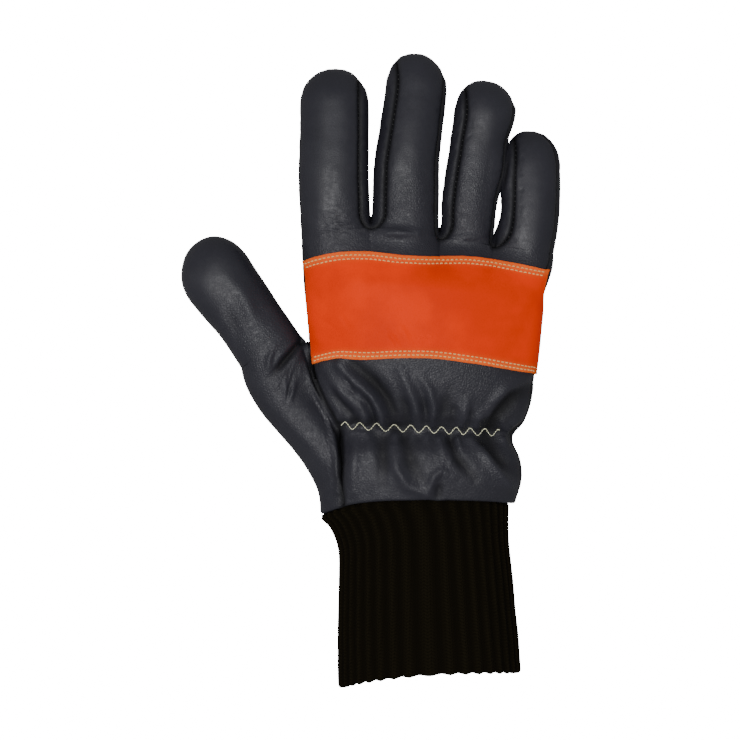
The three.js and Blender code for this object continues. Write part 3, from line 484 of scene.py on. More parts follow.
def finger_ring(i, at, degrees):
    finger = FINGERS[i]
    stations, width = finger["stations"], finger["width"]
    end = round_end((1 - at) * finger["length"] / FINGERTIP_LENGTH, FINGER_SQUARENESS)
    half_width = width * read(stations, "wide", at) / 2
    half_height = half_width * FINGER_FLATNESS
    across, high = ring_point(degrees, half_width * end, half_height * end, FINGER_SQUARENESS)
    middle = (KNUCKLE_X[i] + KNUCKLE_X[i + 1]) / 2
    aside, lift = (width * read(stations, name, at) for name in ("aside", "lift"))
    return points(middle + aside + across, 0.0, lift + half_height + high)


def fork_point(k, side):
    """The fork between finger k and the next, at the back's seam or the palm's."""
    start = np.float64(0.0)
    columns = (1, 0) if side == "back" else (3, 2)
    heights = [finger_ring(k + n, start, seam_angles(k + n, start)[columns[n]])[2] for n in (0, 1)]
    return np.array([KNUCKLE_X[k + 1], 0.0, sum(heights) / 2])


ZONE_SEAMS = {"back": (0, 1), "palm": (2, 3), "left": (0, 2), "right": (1, 3)}


def finger_point(i, at, zone, t):
    """A point of finger i. t runs across its zone from the left, or from the back's seam."""
    finger = FINGERS[i]
    at, t = np.broadcast_arrays(np.asarray(at, float), np.asarray(t, float))
    seams = seam_angles(i, at)
    first, last = ZONE_SEAMS[zone]
    stop = seams[3] - 360 if zone == "right" else seams[last]
    point = finger_ring(i, at, mix(seams[first], stop, t))
    pinch = 1 - round_end(at * finger["length"] / FORK_ROUND, 2)
    flat = zone in ("back", "palm")
    across = t if flat else np.full_like(t, 1.0 if zone == "right" else 0.0)
    left_share = np.maximum(0, 1 - 2 * across) ** 2
    right_share = np.maximum(0, 2 * across - 1) ** 2
    for k, seam, share in ((i - 1, first, left_share), (i, last, right_share)):
        if not 0 <= k < 3:
            continue
        if flat:
            pull = fork_point(k, zone) - finger_ring(i, at, seams[seam])
        else:
            pull = mix(fork_point(k, "back"), fork_point(k, "palm"), t[..., None]) - point
        point = point + pull * (pinch * share)[..., None]
    level = (KNUCKLE_Y[i] + KNUCKLE_Y[i + 1]) / 2
    under = {"back": 0.0, "palm": 1.0}.get(zone, t)
    slope = FORK_SLOPE * under * ((left_share if i > 0 else 0) + (right_share if i < 3 else 0))
    skew = mix(KNUCKLE_Y[i], KNUCKLE_Y[i + 1], across) - level + slope
    point[..., 1] = level + at * finger["length"] + skew * (1 - ease(at * finger["length"] / SKEW_LENGTH))
    return point


def hand_ring(v, degrees, inset=0.0):
    """A point of the hand's ring at height v, or of one that lies inside it by the inset."""
    left, right = (-read(HAND_RINGS, "left", v) * HALF_KNUCKLES, read(HAND_RINGS, "right", v) * HALF_KNUCKLES)
    top, bottom = (read(HAND_RINGS, name, v) * HAND_THICKNESS for name in ("top", "bottom"))
    side = mix(bottom, top, EDGE_HEIGHT)
    upper = np.sin(np.radians(degrees)) > 0
    half_height = np.where(upper, top - side, side - bottom)
    across, high = ring_point(degrees, (right - left) / 2 - inset, half_height - inset, HAND_SQUARENESS)
    return points((left + right) / 2 + across, 0.0, side + high)


FORK_ANGLES = [math.degrees(math.acos(math.copysign(abs(x / HALF_KNUCKLES) ** (HAND_SQUARENESS / 2), x)))
               for x in KNUCKLE_X[1:4]]


def back_seam_angle(v):
    return 180 - read(HAND_RINGS, "seam", v)


def right_seam_angle(v):
    return mix(RIGHT_SEAM_LOW, RIGHT_SEAM_ANGLE, ease((v - 0.74) / 0.24))


def palm_edge_angle(v):
    """The palm's left edge: the back's own seam above the thumb, the thumb's seam under the palm below it."""
    opened = round_end((THUMB_FORK_AT - v) / (THUMB_FORK_AT * THUMB_SEAM_TURN), 2)
    beside_thumb = mix(back_seam_angle(v), 180 + THUMB_SEAM_UNDER, opened)
    return np.where(v >= THUMB_FORK_AT, back_seam_angle(v), beside_thumb)


def hem_height(share):
    return -np.where(share < 0, HEM_DROP_THUMB, HEM_DROP_LITTLE) * np.abs(share) ** 3


def hem_share(degrees):
    return signed_power(np.cos(np.radians(degrees)), 2 / HAND_SQUARENESS)


def hand_point(v, zone, i, t):
    """A point of the hand at height v, in finger i's stretch of the back or palm, t across that stretch."""
    v, t = np.broadcast_arrays(np.asarray(v, float), np.asarray(t, float))
    if zone == "back":
        stops = [back_seam_angle(v), *FORK_ANGLES, right_seam_angle(v)]
    else:
        stops = [palm_edge_angle(v), *(360 - angle for angle in FORK_ANGLES), 360 + right_seam_angle(v)]
    degrees = mix(stops[i], stops[i + 1], t)
    if zone == "palm" and i == 3:
        seams = seam_angles(i, np.float64(0.0))
        edge = (360 - seams[2]) / (seams[3] - seams[2])
        turned = np.where(
            t < edge, mix(stops[i], 360, t / edge), mix(360, stops[i + 1], (t - edge) / (1 - edge)))
        degrees = mix(degrees, turned, ease((v - BAND_FROM) / 0.4))
    root = finger_point(i, 0.0, zone, t)
    point = mix(hand_ring(v, degrees), root, ease(1 - (1 - v) * HAND_LENGTH / KNUCKLE_BLEND)[..., None])
    smooth = read(KNUCKLE_CURVE, "level", np.clip(HALF_KNUCKLES * hem_share(degrees), *KNUCKLE_X[::4]))
    level = mix(smooth, root[..., 1], ease((v - 0.9) / 0.1))
    point[..., 1] = mix(hem_height(hem_share(degrees)), level, v)
    return point


THUMB_AXIS = np.array([-math.sin(THUMB_SPREAD), math.cos(THUMB_SPREAD), 0.0])
THUMB_INNER = np.array([math.cos(THUMB_SPREAD), math.sin(THUMB_SPREAD), 0.0])
THUMB_HALF_ROOT = THUMB_WIDTH * (THUMB_STATIONS["wide"][0] / 2 + THUMB_STATIONS["aside"][0])
THUMB_ROOT = (
    hand_point(THUMB_FORK_AT, "back", 0, 0.0) + THUMB_AXIS * THUMB_STEP
    - THUMB_INNER * (THUMB_HALF_ROOT + THUMB_ASIDE))


def thumb_point(at, degrees):
    end = round_end((1 - at) * THUMB_REACH / THUMB_TIP_LENGTH, FINGER_SQUARENESS)
    half_width = THUMB_WIDTH * read(THUMB_STATIONS, "wide", at) / 2
    half_height = half_width * THUMB_FLATNESS
    across, high = ring_point(degrees, half_width * end, half_height * end, FINGER_SQUARENESS)
    inward = across + THUMB_WIDTH * read(THUMB_STATIONS, "aside", at)
    out = at * THUMB_REACH + 0 * inward
    point = THUMB_ROOT + out[..., None] * THUMB_AXIS + inward[..., None] * THUMB_INNER
    point[..., 2] = THUMB_WIDTH * read(THUMB_STATIONS, "lift", at) + half_height + high
    return point


def unit(vectors):
    return vectors / np.maximum(np.linalg.norm(vectors, axis=-1, keepdims=True), 1e-12)


def thumb_loop(v_rows, hem_columns):
    """Points of the loop where the thumb joins the hand, and the direction in which its skin leaves each."""
    along = np.array([0.0, 1.0, 0.0])
    v_rows = v_rows[v_rows <= THUMB_FORK_AT + 1e-9]

    def leaving(across, v):
        hemward = 1 - ease(v * HAND_LENGTH / HEM_STRAIGHT)
        forkward = ease(1 - (THUMB_FORK_AT - v) / FORK_STRAIGHT)
        lean = across * (across @ THUMB_AXIS)[:, None] + along * THUMB_AXIS[1]
        lean = mix(lean, along, (hemward * 0.7)[:, None])
        return unit(mix(lean, THUMB_AXIS, forkward[:, None]))

    def across_at(angles, v):
        return unit(hand_ring(v, angles + 4) - hand_ring(v, angles - 4))

    down = v_rows[::-1]
    up = v_rows[:-1]
    hem_angles = mix(back_seam_angle(0.0), palm_edge_angle(0.0), np.arange(1, hem_columns) / hem_columns)
    hem = hand_ring(np.zeros_like(hem_angles), hem_angles)
    hem[:, 1] = hem_height(hem_share(hem_angles))
    back = hand_point(down, "back", 0, 0.0)
    palm = hand_point(up, "palm", 0, 0.0)
    loop = np.concatenate([back, hem, palm, back[:1]])
    back_leaving = leaving(across_at(back_seam_angle(down), down), down)
    directions = np.concatenate([
        back_leaving,
        np.tile(along, (len(hem), 1)),
        leaving(-across_at(palm_edge_angle(up), up), up),
        back_leaving[:1],
    ])
    steps = np.linalg.norm(np.diff(loop, axis=0), axis=1)
    lengths = np.concatenate([[0.0], np.cumsum(steps)])
    return loop, directions, 360 * lengths / lengths[-1]


def thumb_join(loop, directions, angles, q):
    """Rows of the thumb's root, from its seam at q 0 to its first full ring at q 1."""
    target = thumb_point(np.zeros_like(angles), angles)
    reach = np.linalg.norm(target - loop, axis=1)[:, None]
    outward = (1 - np.cos(np.radians(angles))) / 2
    turn = -THUMB_HEEL_TURN * outward
    arriving = points(
        THUMB_AXIS[0] * np.cos(turn) - THUMB_AXIS[1] * np.sin(turn),
        THUMB_AXIS[0] * np.sin(turn) + THUMB_AXIS[1] * np.cos(turn), 0.0)
    q = q[:, None, None]
    q2, q3 = q * q, q * q * q
    bulge = THUMB_HEEL_BULGE * outward[:, None] ** 2 * q3 * (1 - q) * (256 / 27)
    return (loop * (2 * q3 - 3 * q2 + 1) + directions * reach * (q3 - 2 * q2 + q) - THUMB_INNER * bulge
            + target * (3 * q2 - 2 * q3) + arriving * reach * (q3 - q2))


def soften(rows, q):
    """Rows of closed loops, with the ridges from the first loop's corners rounded off between q 0 and 1."""
    share = 0.5 * ease(q / ROUNDING_FROM)[:, None, None] * ease((1 - q) / ROUNDING_UNTIL)[:, None, None]
    ring = rows[:, :-1]
    for _ in range(ROUNDING_PASSES):
        beside = (np.roll(ring, 1, axis=1) + np.roll(ring, -1, axis=1)) / 2
        ring = mix(ring, beside, share)
    return np.concatenate([ring, ring[:, :1]], axis=1)


def cuff_point(down, degrees):
    left, right = (-read(CUFF_RINGS, "left", down) * CUFF_WIDTH, read(CUFF_RINGS, "right", down) * CUFF_WIDTH)
    bottom, top = (read(CUFF_RINGS, name, down) * CUFF_THICKNESS for name in ("bottom", "top"))
    across, high = ring_point(degrees, (right - left) / 2, (top - bottom) / 2, CUFF_SQUARENESS)
    share = across / ((right - left) / 2)
    slant = CUFF_END_SLANT * ((1 - share) / 2) ** 3
    y = mix(hem_height(share), -CUFF_LENGTH - slant, down)
    return points((left + right) / 2 + across, y, (bottom + top) / 2 + high)


def tucked_point(height, degrees):
    """A point of the cuff's top, inside the leather."""
    point = hand_ring(height / HAND_LENGTH + 0 * degrees, degrees, CUFF_CLEAR)
    point[..., 1] = hem_height(hem_share(degrees)) + height
    point[..., 2] = np.maximum(point[..., 2], CUFF_CLEAR)
    return point


# Relief of the leather

def wander(places, size, seed=0.0):
    """Smooth noise from about -1 to 1 at each place, with waves of about the given size."""
    scaled = places / size + seed
    return np.array([noise.noise(p) for p in scaled.tolist()])


def stroke_height(x, y, stroke):
    """Height of one stroke at points of the glove, in metres."""
    path = np.array(stroke["path"], float) * MM
    legs = np.linalg.norm(np.diff(path, axis=0), axis=1)
    starts = np.concatenate([[0.0], np.cumsum(legs)])
    nearest = np.full(x.shape, np.inf)
    place = np.zeros(x.shape)
    for (ax, ay), (bx, by), leg, start in zip(path, path[1:], legs, starts):
        t = np.clip(((x - ax) * (bx - ax) + (y - ay) * (by - ay)) / leg ** 2, 0.0, 1.0)
        away = np.hypot(x - mix(ax, bx, t), y - mix(ay, by, t))
        closer = away < nearest
        nearest = np.where(closer, away, nearest)
        place = np.where(closer, start + t * leg, place)
    place = place / starts[-1]
    swell = np.where(
        place < 0.5, mix(stroke["start"], 1.0, ease(place * 2)), mix(1.0, stroke["end"], ease(place * 2 - 1)))
    return stroke["high"] * MM * swell * np.exp(-(nearest / (stroke["wide"] * MM)) ** 2)


def wrinkle_depth(places, field):
    x, y = places[:, 0] / MM - field["middle"][0], places[:, 1] / MM - field["middle"][1]
    turn = math.radians(field["turn"])
    u, v = x * math.cos(turn) + y * math.sin(turn), y * math.cos(turn) - x * math.sin(turn)
    inside = np.exp(-((x / field["reach"][0]) ** 2 + (y / field["reach"][1]) ** 2) * 1.4)
    depth = np.zeros(len(places))
    near = inside > 0.02
    grain = points(u[near] / field["grain"][0], v[near] / field["grain"][1], places[near, 2] / (3 * MM))
    waves = np.array([noise.noise(p) for p in grain.tolist()])
    fine = np.array([noise.noise(p) for p in (grain * 2.1 + 7.3).tolist()])
    creased = 1 - np.abs(waves) * 2.2
    depth[near] = field["deep"] * MM * (np.clip(creased, -0.4, 1.0) + 0.4 * fine) * inside[near]
    return depth


def relief(places, normals, strength, fine=1.0):
    """How far each point of the leather is pushed out, in metres."""
    upper = np.clip(normals[:, 2], 0.0, 1.0) ** 0.7
    x, y = places[:, 0], places[:, 1]
    height = sum(stroke_height(x, y, stroke) for stroke in STROKES)
    height = height - fine * sum(wrinkle_depth(places, field) for field in WRINKLES)
    line = elastic_line(x)
    away = np.abs(y - line) / MM
    on_back = ease((np.clip(x / MM, -44, 44) + 44) / 4) * ease((44 - np.clip(x / MM, -44, 44)) / 4)
    groove = -0.8 * np.exp(-(away / 1.7) ** 2)
    pucker = 0.42 * np.cos(2 * math.pi * x / (7 * MM) + 0.6) * np.exp(-((away - 3.2) / 2.8) ** 2)
    height = height + (groove + pucker) * MM * on_back * fine
    sway = 0.34 * wander(places, 19 * MM, 3.1) + 0.13 * wander(places, 7 * MM, 11.7)
    from_touch = (x / MM - TOUCH_MIDDLE[0]) / TOUCH_REACH[0]
    along_touch = (y / MM - TOUCH_MIDDLE[1]) / TOUCH_REACH[1]
    sideways = np.clip(np.abs(normals[:, 0]) - 0.3, 0, 1)
    squeezed = np.exp(-along_touch ** 2 - from_touch ** 4) * sideways
    return strength * (height * upper + sway * MM) + TOUCH_SWELL * squeezed


def elastic_line(x):
    """Height of the elastic line at a place across the back of the wrist."""
    share = (x / MM - ELASTIC_LEFT[0]) / (ELASTIC_RIGHT[0] - ELASTIC_LEFT[0])
    return mix(ELASTIC_LEFT[1], ELASTIC_RIGHT[1], share) * MM


# Skins: patches of points that share their edges

class Skin:
    def __init__(self):
        self.patches = []

    def grid(self, piece, rows):
        """Adds rows of points. Seen from outside, columns run to the right and rows run up."""
        self.patches.append((piece, np.asarray(rows, float)))

    def weld(self):
        """Joins equal points, and keeps each patch as a grid of point numbers."""
        every = np.concatenate([rows.reshape(-1, 3) for _, rows in self.patches])
        every[:, 2] = np.maximum(every[:, 2], 0.0)
        keys = np.round(every / (0.001 * MM) + 0.377).astype(np.int64)
        _, first, number = np.unique(keys, axis=0, return_index=True, return_inverse=True)
        self.points = every[first]
        self.grids = []
        start = 0
        for piece, rows in self.patches:
            count = rows.shape[0] * rows.shape[1]
            self.grids.append((piece, number.reshape(-1)[start:start + count].reshape(rows.shape[:2])))
            start += count
        self.owners = {}
        for piece, grid in self.grids:
            self.owners.setdefault(piece, np.zeros(len(self.points), bool))[grid.reshape(-1)] = True
        self.shared = sum(owned.astype(int) for owned in self.owners.values()) > 1

    def quads(self, piece=None, step=1):
        found = []
        for owner, grid in self.grids:
            if piece is not None and owner != piece:
                continue
            g = grid[::step, ::step]
            found.append(np.stack([g[:-1, :-1], g[:-1, 1:], g[1:, 1:], g[1:, :-1]], axis=-1).reshape(-1, 4))
        return np.concatenate(found)

    def sides(self, piece):
        """The edges of a piece's patches as rows of point numbers."""
        for owner, grid in self.grids:
            if owner == piece:
                yield from (grid[0, :], grid[-1, :], grid[:, 0], grid[:, -1])

    def normals(self, quads):
        p = self.points
        a, b, c, d = (p[quads[:, n]] for n in range(4))
        faces = unit(np.cross(c - a, d - b))
        sums = np.zeros_like(p)
        for axis in range(3):
            for corner in range(4):
                sums[:, axis] += np.bincount(quads[:, corner], faces[:, axis], minlength=len(p))
        return unit(sums)


def border_edges(quads):
    """Directed edges of faces that have no face on their other side."""
    edges = np.concatenate([np.stack([quads[:, n], quads[:, (n + 1) % 4]], axis=1) for n in range(4)])
    edges = edges[edges[:, 0] != edges[:, 1]]
    size = edges.max() + 1
    ahead, back = edges[:, 0] * size + edges[:, 1], edges[:, 1] * size + edges[:, 0]
    return edges[~np.isin(ahead, back)]


def stations(stops, step):
    """Lengths through all stops, at most a step apart, in groups that the lining's coarse faces share."""
    found = [stops[0]]
    for low, high in zip(stops, stops[1:]):
        count = COARSE * max(1, math.ceil((high - low) / step / COARSE))
        found.extend(low + (high - low) * (n + 1) / count for n in range(count))
    return np.array(found)


def finger_stations(length_of_finger, step, rounded_from):
    """Shares of a finger's length, closer together at its fork and in its rounded end."""
    start = 0.1 * (np.arange(5 * COARSE) / (5 * COARSE)) ** 2
    middle = stations([0.1 * length_of_finger, rounded_from * length_of_finger], step) / length_of_finger
    tip = 1 - (1 - rounded_from) * (1 - np.arange(1, 4 * COARSE + 1) / (4 * COARSE)) ** 2
    return np.concatenate([start, middle, tip])


def strip_name(k):
    return f"strip_{FINGERS[k]['name']}_{FINGERS[k + 1]['name']}"


def columns_of(width, step):
    return COARSE * max(1, math.ceil(width / step / COARSE))


@lru_cache(maxsize=2)
def sewn_skin(step, strength):
    """The whole leather skin, with its folds."""
    skin = Skin()
    stops = [0, ELASTIC_AT * HAND_LENGTH, THUMB_FORK_AT * HAND_LENGTH, HAND_LENGTH]
    v_rows = stations(stops, step) / HAND_LENGTH
    v_rows[np.argmin(np.abs(v_rows - THUMB_FORK_AT))] = THUMB_FORK_AT
    v_rows[-1] = 1.0
    back_t = np.linspace(0, 1, columns_of(STRETCH_WIDTH, step) + 1)
    palm_t = np.linspace(0, 1, columns_of(STRETCH_WIDTH, 1.6 * step) + 1)[::-1]
    strip_t = np.linspace(0, 1, columns_of(STRIP_WIDTH, 1.3 * step) + 1)
    for i, finger in enumerate(FINGERS):
        at = finger_stations(finger["length"], step, STRIP_END)[:, None]
        skin.grid("back_panel", hand_point(v_rows[:, None], "back", i, back_t))
        skin.grid("back_panel", finger_point(i, at, "back", back_t))
        skin.grid("palm_panel", hand_point(v_rows[:, None], "palm", i, palm_t))
        skin.grid("palm_panel", finger_point(i, at, "palm", palm_t))
    for k in range(3):
        for i, zone, t in ((k, "right", strip_t), (k + 1, "left", strip_t[::-1])):
            at = finger_stations(FINGERS[i]["length"], step, STRIP_END)
            skin.grid(strip_name(k), finger_point(i, at[at <= STRIP_END + 1e-9][:, None], zone, t))
    loop, directions, angles = thumb_loop(v_rows, columns_of(THUMB_HEM_WIDTH, step))
    q = np.arange(JOIN_ROWS) / JOIN_ROWS
    join = soften(thumb_join(loop, directions, angles, q), q)
    thumb_at = finger_stations(THUMB_REACH, step, 0.9)[:, None]
    out = thumb_point(thumb_at, np.broadcast_to(angles, (len(thumb_at), len(angles))))
    skin.grid("thumb", np.concatenate([join, out])[:, ::-1])
    skin.weld()
    normals = skin.normals(skin.quads())
    skin.height = relief(skin.points, normals, strength)
    skin.points = skin.points + normals * skin.height[:, None]
    skin.points[:, 2] = np.maximum(skin.points[:, 2], 0.0)
    return skin


def distances(places, to_places):
    """Distance of each place to the nearest of the others."""
    tree = KDTree(len(to_places))
    for n, place in enumerate(to_places.tolist()):
        tree.insert(place, n)
    tree.balance()
    return np.array([tree.find(place)[2] for place in places.tolist()])


def roll_depth(away, reach, deep):
    return deep * (1 - np.sqrt(1 - np.clip(1 - away / reach, 0.0, 1.0) ** 2))


def mesh_object(name, verts, faces, flat_from, marks=()):
    """A mesh of the given faces, smooth up to number flat_from and flat from there on."""
    mesh = bpy.data.meshes.new(name)
    mesh.from_pydata((verts + OWN_ZERO).tolist(), [], faces)
    smooth = np.arange(len(faces)) < flat_from
    mesh.polygons.foreach_set("use_smooth", smooth)
    for mark, values in marks:
        mesh.attributes.new(mark, "FLOAT", "POINT").data.foreach_set("value", np.asarray(values, np.float32))
    mesh.update()
    mesh.validate()
    thing = bpy.data.objects.new(name, mesh)
    bpy.context.scene.collection.objects.link(thing)
    return thing


def tidy_faces(quads):
    """Quads as lists, with a corner left out where two of them are one point."""
    whole = np.all(quads != np.roll(quads, -1, axis=1), axis=1)
    faces = quads[whole].tolist()
    for quad in quads[~whole].tolist():
        corners = [n for k, n in enumerate(quad) if n != quad[(k + 1) % 4]]
        if len(set(corners)) > 2:
            faces.append(corners)
    return faces


def sheet_mesh(name, skin, piece, shared_normals, wall, sink, inset, marks, sag=0.0):
    """A closed sheet over one piece of a skin. sink gives each point's depth below the skin, in metres;
    marks are extra values for each point of the skin; sag lowers the lining where it lies high."""
    quads = skin.quads(piece)
    own = skin.normals(quads)
    normals = np.where(np.sum(own * shared_normals, axis=1, keepdims=True) < 0, own, shared_normals)
    edges = border_edges(quads)
    border = np.unique(edges)
    pull = np.zeros_like(skin.points)
    middles = skin.points[quads].mean(axis=1)
    for corner in range(4):
        toward = middles - skin.points[quads[:, corner]]
        for axis in range(3):
            pull[:, axis] += np.bincount(quads[:, corner], toward[:, axis], minlength=len(pull))
    pull = unit(pull - normals * np.sum(pull * normals, axis=1, keepdims=True))
    outer = skin.points - normals * sink[:, None]
    outer[border] += pull[border] * inset
    used = np.unique(quads)
    slot = np.full(len(skin.points), -1)
    slot[used] = np.arange(len(used))
    coarse = skin.quads(piece, COARSE)
    lining = np.unique(coarse)
    lining_slot = np.full(len(skin.points), -1)
    lining_slot[lining] = np.arange(len(lining)) + len(used)
    inner = outer[lining] - normals[lining] * wall
    inner[:, 2] -= sag * ease(inner[:, 2] / (8 * MM) - 1)
    inner[:, 2] = np.maximum(inner[:, 2], 0.1 * wall)
    outer[:, 2] = np.maximum(outer[:, 2], 0.0)
    faces = tidy_faces(slot[quads]) + tidy_faces(lining_slot[coarse][:, ::-1])
    flat_from = len(faces)
    runs = {}
    for side in skin.sides(piece):
        for n in range(0, len(side) - 1, COARSE):
            run = side[n:n + COARSE + 1]
            runs[run[0], run[-1]] = run
            runs[run[-1], run[0]] = run[::-1]
    for a, b in border_edges(coarse).tolist():
        run = runs[a, b]
        faces.append([int(slot[a]), int(lining_slot[a]), int(lining_slot[b]), *slot[run[:0:-1]].tolist()])
    values = [(mark, np.concatenate([value[used], value[lining]])) for mark, value in marks]
    return mesh_object(name, np.concatenate([outer[used], inner]), faces, flat_from, values)


def grained(places):
    """Share of the full grain at each place. The fingertips, thumb's tip and little finger are smooth."""
    x, y = places[:, 0] / MM, places[:, 1] / MM
    from_tips = ease((168 - y) / 34)
    from_little = 1 - ease((x - 30) / 8) * ease((y - 108) / 14)
    from_thumb = ease((-x * 0.59 + y * 0.81 - 142) / -26)
    return 0.15 + 0.85 * from_tips * from_little * from_thumb


def leather_piece(name, piece, sizes):
    """One grey leather piece of the glove, rolled down into its seams."""
    skin = sewn_skin(sizes.fineness, sizes.folds)
    shared_normals = skin.normals(skin.quads())
    quads = skin.quads(piece)
    border = np.unique(border_edges(quads))
    seam, hem = border[skin.shared[border]], border[~skin.shared[border]]
    used = np.unique(quads)
    sink = np.zeros(len(skin.points))
    crease = np.zeros(len(skin.points))
    places = skin.points[used]
    away = distances(places, skin.points[seam])
    uneven = 1 + 0.16 * wander(places, 9 * MM, 5.0)
    rolled = roll_depth(away, sizes.roll * uneven, sizes.seam_depth)
    beside = np.exp(-((away / sizes.roll - 1.0) / 0.6) ** 2)
    puckers = sizes.pucker * beside * wander(places, 2.6 * MM, 21.0)
    sink[used] = rolled + puckers
    # The crease mask is painted shade, darkest in the grooves along the seams; the material also makes the
    # leather rougher by it.
    crease[used] = 1.3 * np.exp(-(away / (0.5 * sizes.roll)) ** 1.5)
    if len(hem):
        away_hem = distances(places, skin.points[hem])
        sink[used] = np.maximum(sink[used], roll_depth(away_hem, sizes.hem_roll, sizes.hem_depth))
    # The valleys of the folds add to the painted shade of the crease mask.
    crease += np.clip(-skin.height / (2.2 * MM), 0, 1)
    # The raised mask is a painted highlight, lighter on the crests of the folds.
    raised = np.clip(skin.height / (2.0 * MM), 0, 1)
    return sheet_mesh(
        name, skin, piece, shared_normals, sizes.wall, sink, sizes.gap,
        [("crease", np.clip(crease, 0, 1)), ("raised", raised), ("grained", grained(skin.points))],
        THUMB_LINING_SAG if piece == "thumb" else 0.0)


# Threads

STITCH_RINGS = (0.0, 0.06, 0.2, 0.4, 0.6, 0.8, 0.94, 1.0)
STITCH_SIDES = 7


def stitch_mesh(name, stitches, thread, sink_share=0.55):
    """Short rounded threads. A stitch is its two ends and the leather's direction out, in metres."""
    starts, ends, outs = (np.array(part, float) for part in zip(*stitches))
    along = unit(ends - starts)
    outs = unit(outs - along * np.sum(outs * along, axis=1, keepdims=True))
    sides = np.cross(along, outs)
    verts = []
    for share in STITCH_RINGS:
        bow = math.sin(math.pi * share)
        radius = thread / 2 * (0.35 + 0.65 * min(1.0, bow * 2.2) ** 0.6)
        lift = 0.22 * bow ** 0.5 + 0.28 - sink_share * (1 - bow ** 0.4)
        middle = mix(starts, ends, share) + outs * thread * lift
        for n in range(STITCH_SIDES):
            angle = 2 * math.pi * n / STITCH_SIDES
            verts.append(middle + radius * (math.cos(angle) * sides + math.sin(angle) * outs))
    verts = np.stack(verts, axis=1)
    per_stitch = len(STITCH_RINGS) * STITCH_SIDES
    pattern = []
    for ring in range(len(STITCH_RINGS) - 1):
        for n in range(STITCH_SIDES):
            a, b = ring * STITCH_SIDES + n, ring * STITCH_SIDES + (n + 1) % STITCH_SIDES
            pattern.append([a, a + STITCH_SIDES, b + STITCH_SIDES, b])
    caps = [list(range(STITCH_SIDES)), list(range(per_stitch - 1, per_stitch - STITCH_SIDES - 1, -1))]
    firsts = range(0, len(stitches) * per_stitch, per_stitch)
    faces = [[corner + first for corner in face] for first in firsts for face in pattern + caps]
    return mesh_object(name, verts.reshape(-1, 3), faces, len(faces))


def tree_of(thing):
    """What rays and nearest-point searches meet: a piece's faces, in the glove's own coordinates."""
    verts = (np.array([v.co for v in thing.data.vertices]) - OWN_ZERO).tolist()
    return BVHTree.FromPolygons(verts, [list(face.vertices) for face in thing.data.polygons])


def dropped(tree, x, y):
    """Where a point falls on a piece from above, and the surface's direction there."""
    hit, normal, _, _ = tree.ray_cast(Vector((x, y, 0.2)), Vector((0, 0, -1)))
    return (np.array(hit), np.array(normal)) if hit is not None else (None, None)


def laid_stitches(line, outs, pitch, share, start=0.0):
    """Cuts a line on the leather into stitches of one pitch."""
    line, outs = np.array(line), np.array(outs)
    places = np.concatenate([[0.0], np.cumsum(np.linalg.norm(np.diff(line, axis=0), axis=1))])

    def at(place, values):
        return np.array([np.interp(place, places, values[:, axis]) for axis in range(3)])

    def stitch(n):
        first, middle, last = (start + (n + part) * pitch for part in (0, share / 2, share))
        return at(first, line), at(last, line), at(middle, outs)

    return [stitch(n) for n in range(int((places[-1] - start) / pitch))]


# Materials

def new_material(name):
    material = bpy.data.materials.new(name)
    material.use_nodes = True
    tree = material.node_tree
    tree.nodes.clear()
    output = tree.nodes.new("ShaderNodeOutputMaterial")
    shader = tree.nodes.new("ShaderNodeBsdfPrincipled")
    tree.links.new(shader.outputs["BSDF"], output.inputs["Surface"])
    return material, tree, shader


def node(tree, kind, settings=None, **inputs):
    """Adds a node. Inputs are values or other nodes' outputs, by name with _ for a space, or by number."""
    made = tree.nodes.new(kind)
    for name, value in (settings or {}).items():
        setattr(made, name, value)
    for name, value in inputs.items():
        key = int(name[1:]) if name[0] == "i" and name[1:].isdigit() else name.replace("_", " ")
        if isinstance(value, bpy.types.NodeSocket):
            tree.links.new(value, made.inputs[key])
        else:
            made.inputs[key].default_value = value
    return made


def math_node(tree, operation, a, b=0.0, clamp=False):
    return node(tree, "ShaderNodeMath", {"operation": operation, "use_clamp": clamp}, i0=a, i1=b).outputs[0]


def times(tree, a, b):
    return math_node(tree, "MULTIPLY", a, b)


def object_place(tree):
    return node(tree, "ShaderNodeTexCoord").outputs["Object"]


def attribute(tree, name):
    return node(tree, "ShaderNodeAttribute", {"attribute_name": name}).outputs["Fac"]


def noise_node(tree, place, scale, detail, roughness=0.5):
    return node(
        tree, "ShaderNodeTexNoise", Vector=place, Scale=scale, Detail=detail, Roughness=roughness).outputs[0]


def mixed(tree, share, a, b):
    """One colour or the other, by a share."""
    made = node(tree, "ShaderNodeMix", {"data_type": "RGBA"}, i0=share)
    for key, value in ((6, a), (7, b)):
        if isinstance(value, bpy.types.NodeSocket):
            tree.links.new(value, made.inputs[key])
        else:
            made.inputs[key].default_value = (*value, 1.0)
    return made.outputs[2]


def ranged(tree, value, low, high, to_low, to_high):
    return node(
        tree, "ShaderNodeMapRange", {"interpolation_type": "SMOOTHSTEP"},
        Value=value, From_Min=low, From_Max=high, To_Min=to_low, To_Max=to_high).outputs[0]


def grain_height(tree, place, cell):
    """Leather grain: rounded pebbles between fine creases, with pores."""
    warp = node(tree, "ShaderNodeTexNoise", Vector=place, Scale=260.0, Detail=2.0).outputs["Color"]
    shifted = node(
        tree, "ShaderNodeMix", {"data_type": "VECTOR"}, i0=0.0012, i4=place, i5=warp).outputs[1]
    cells = node(
        tree, "ShaderNodeTexVoronoi", {"feature": "DISTANCE_TO_EDGE"}, Vector=shifted, Scale=1 / cell)
    pebbles = ranged(tree, cells.outputs["Distance"], 0.0, 0.28, 0.0, 1.0)
    pores = noise_node(tree, place, 0.55 / (0.3 * cell), 3.0)
    return math_node(tree, "ADD", pebbles, times(tree, pores, 0.35))


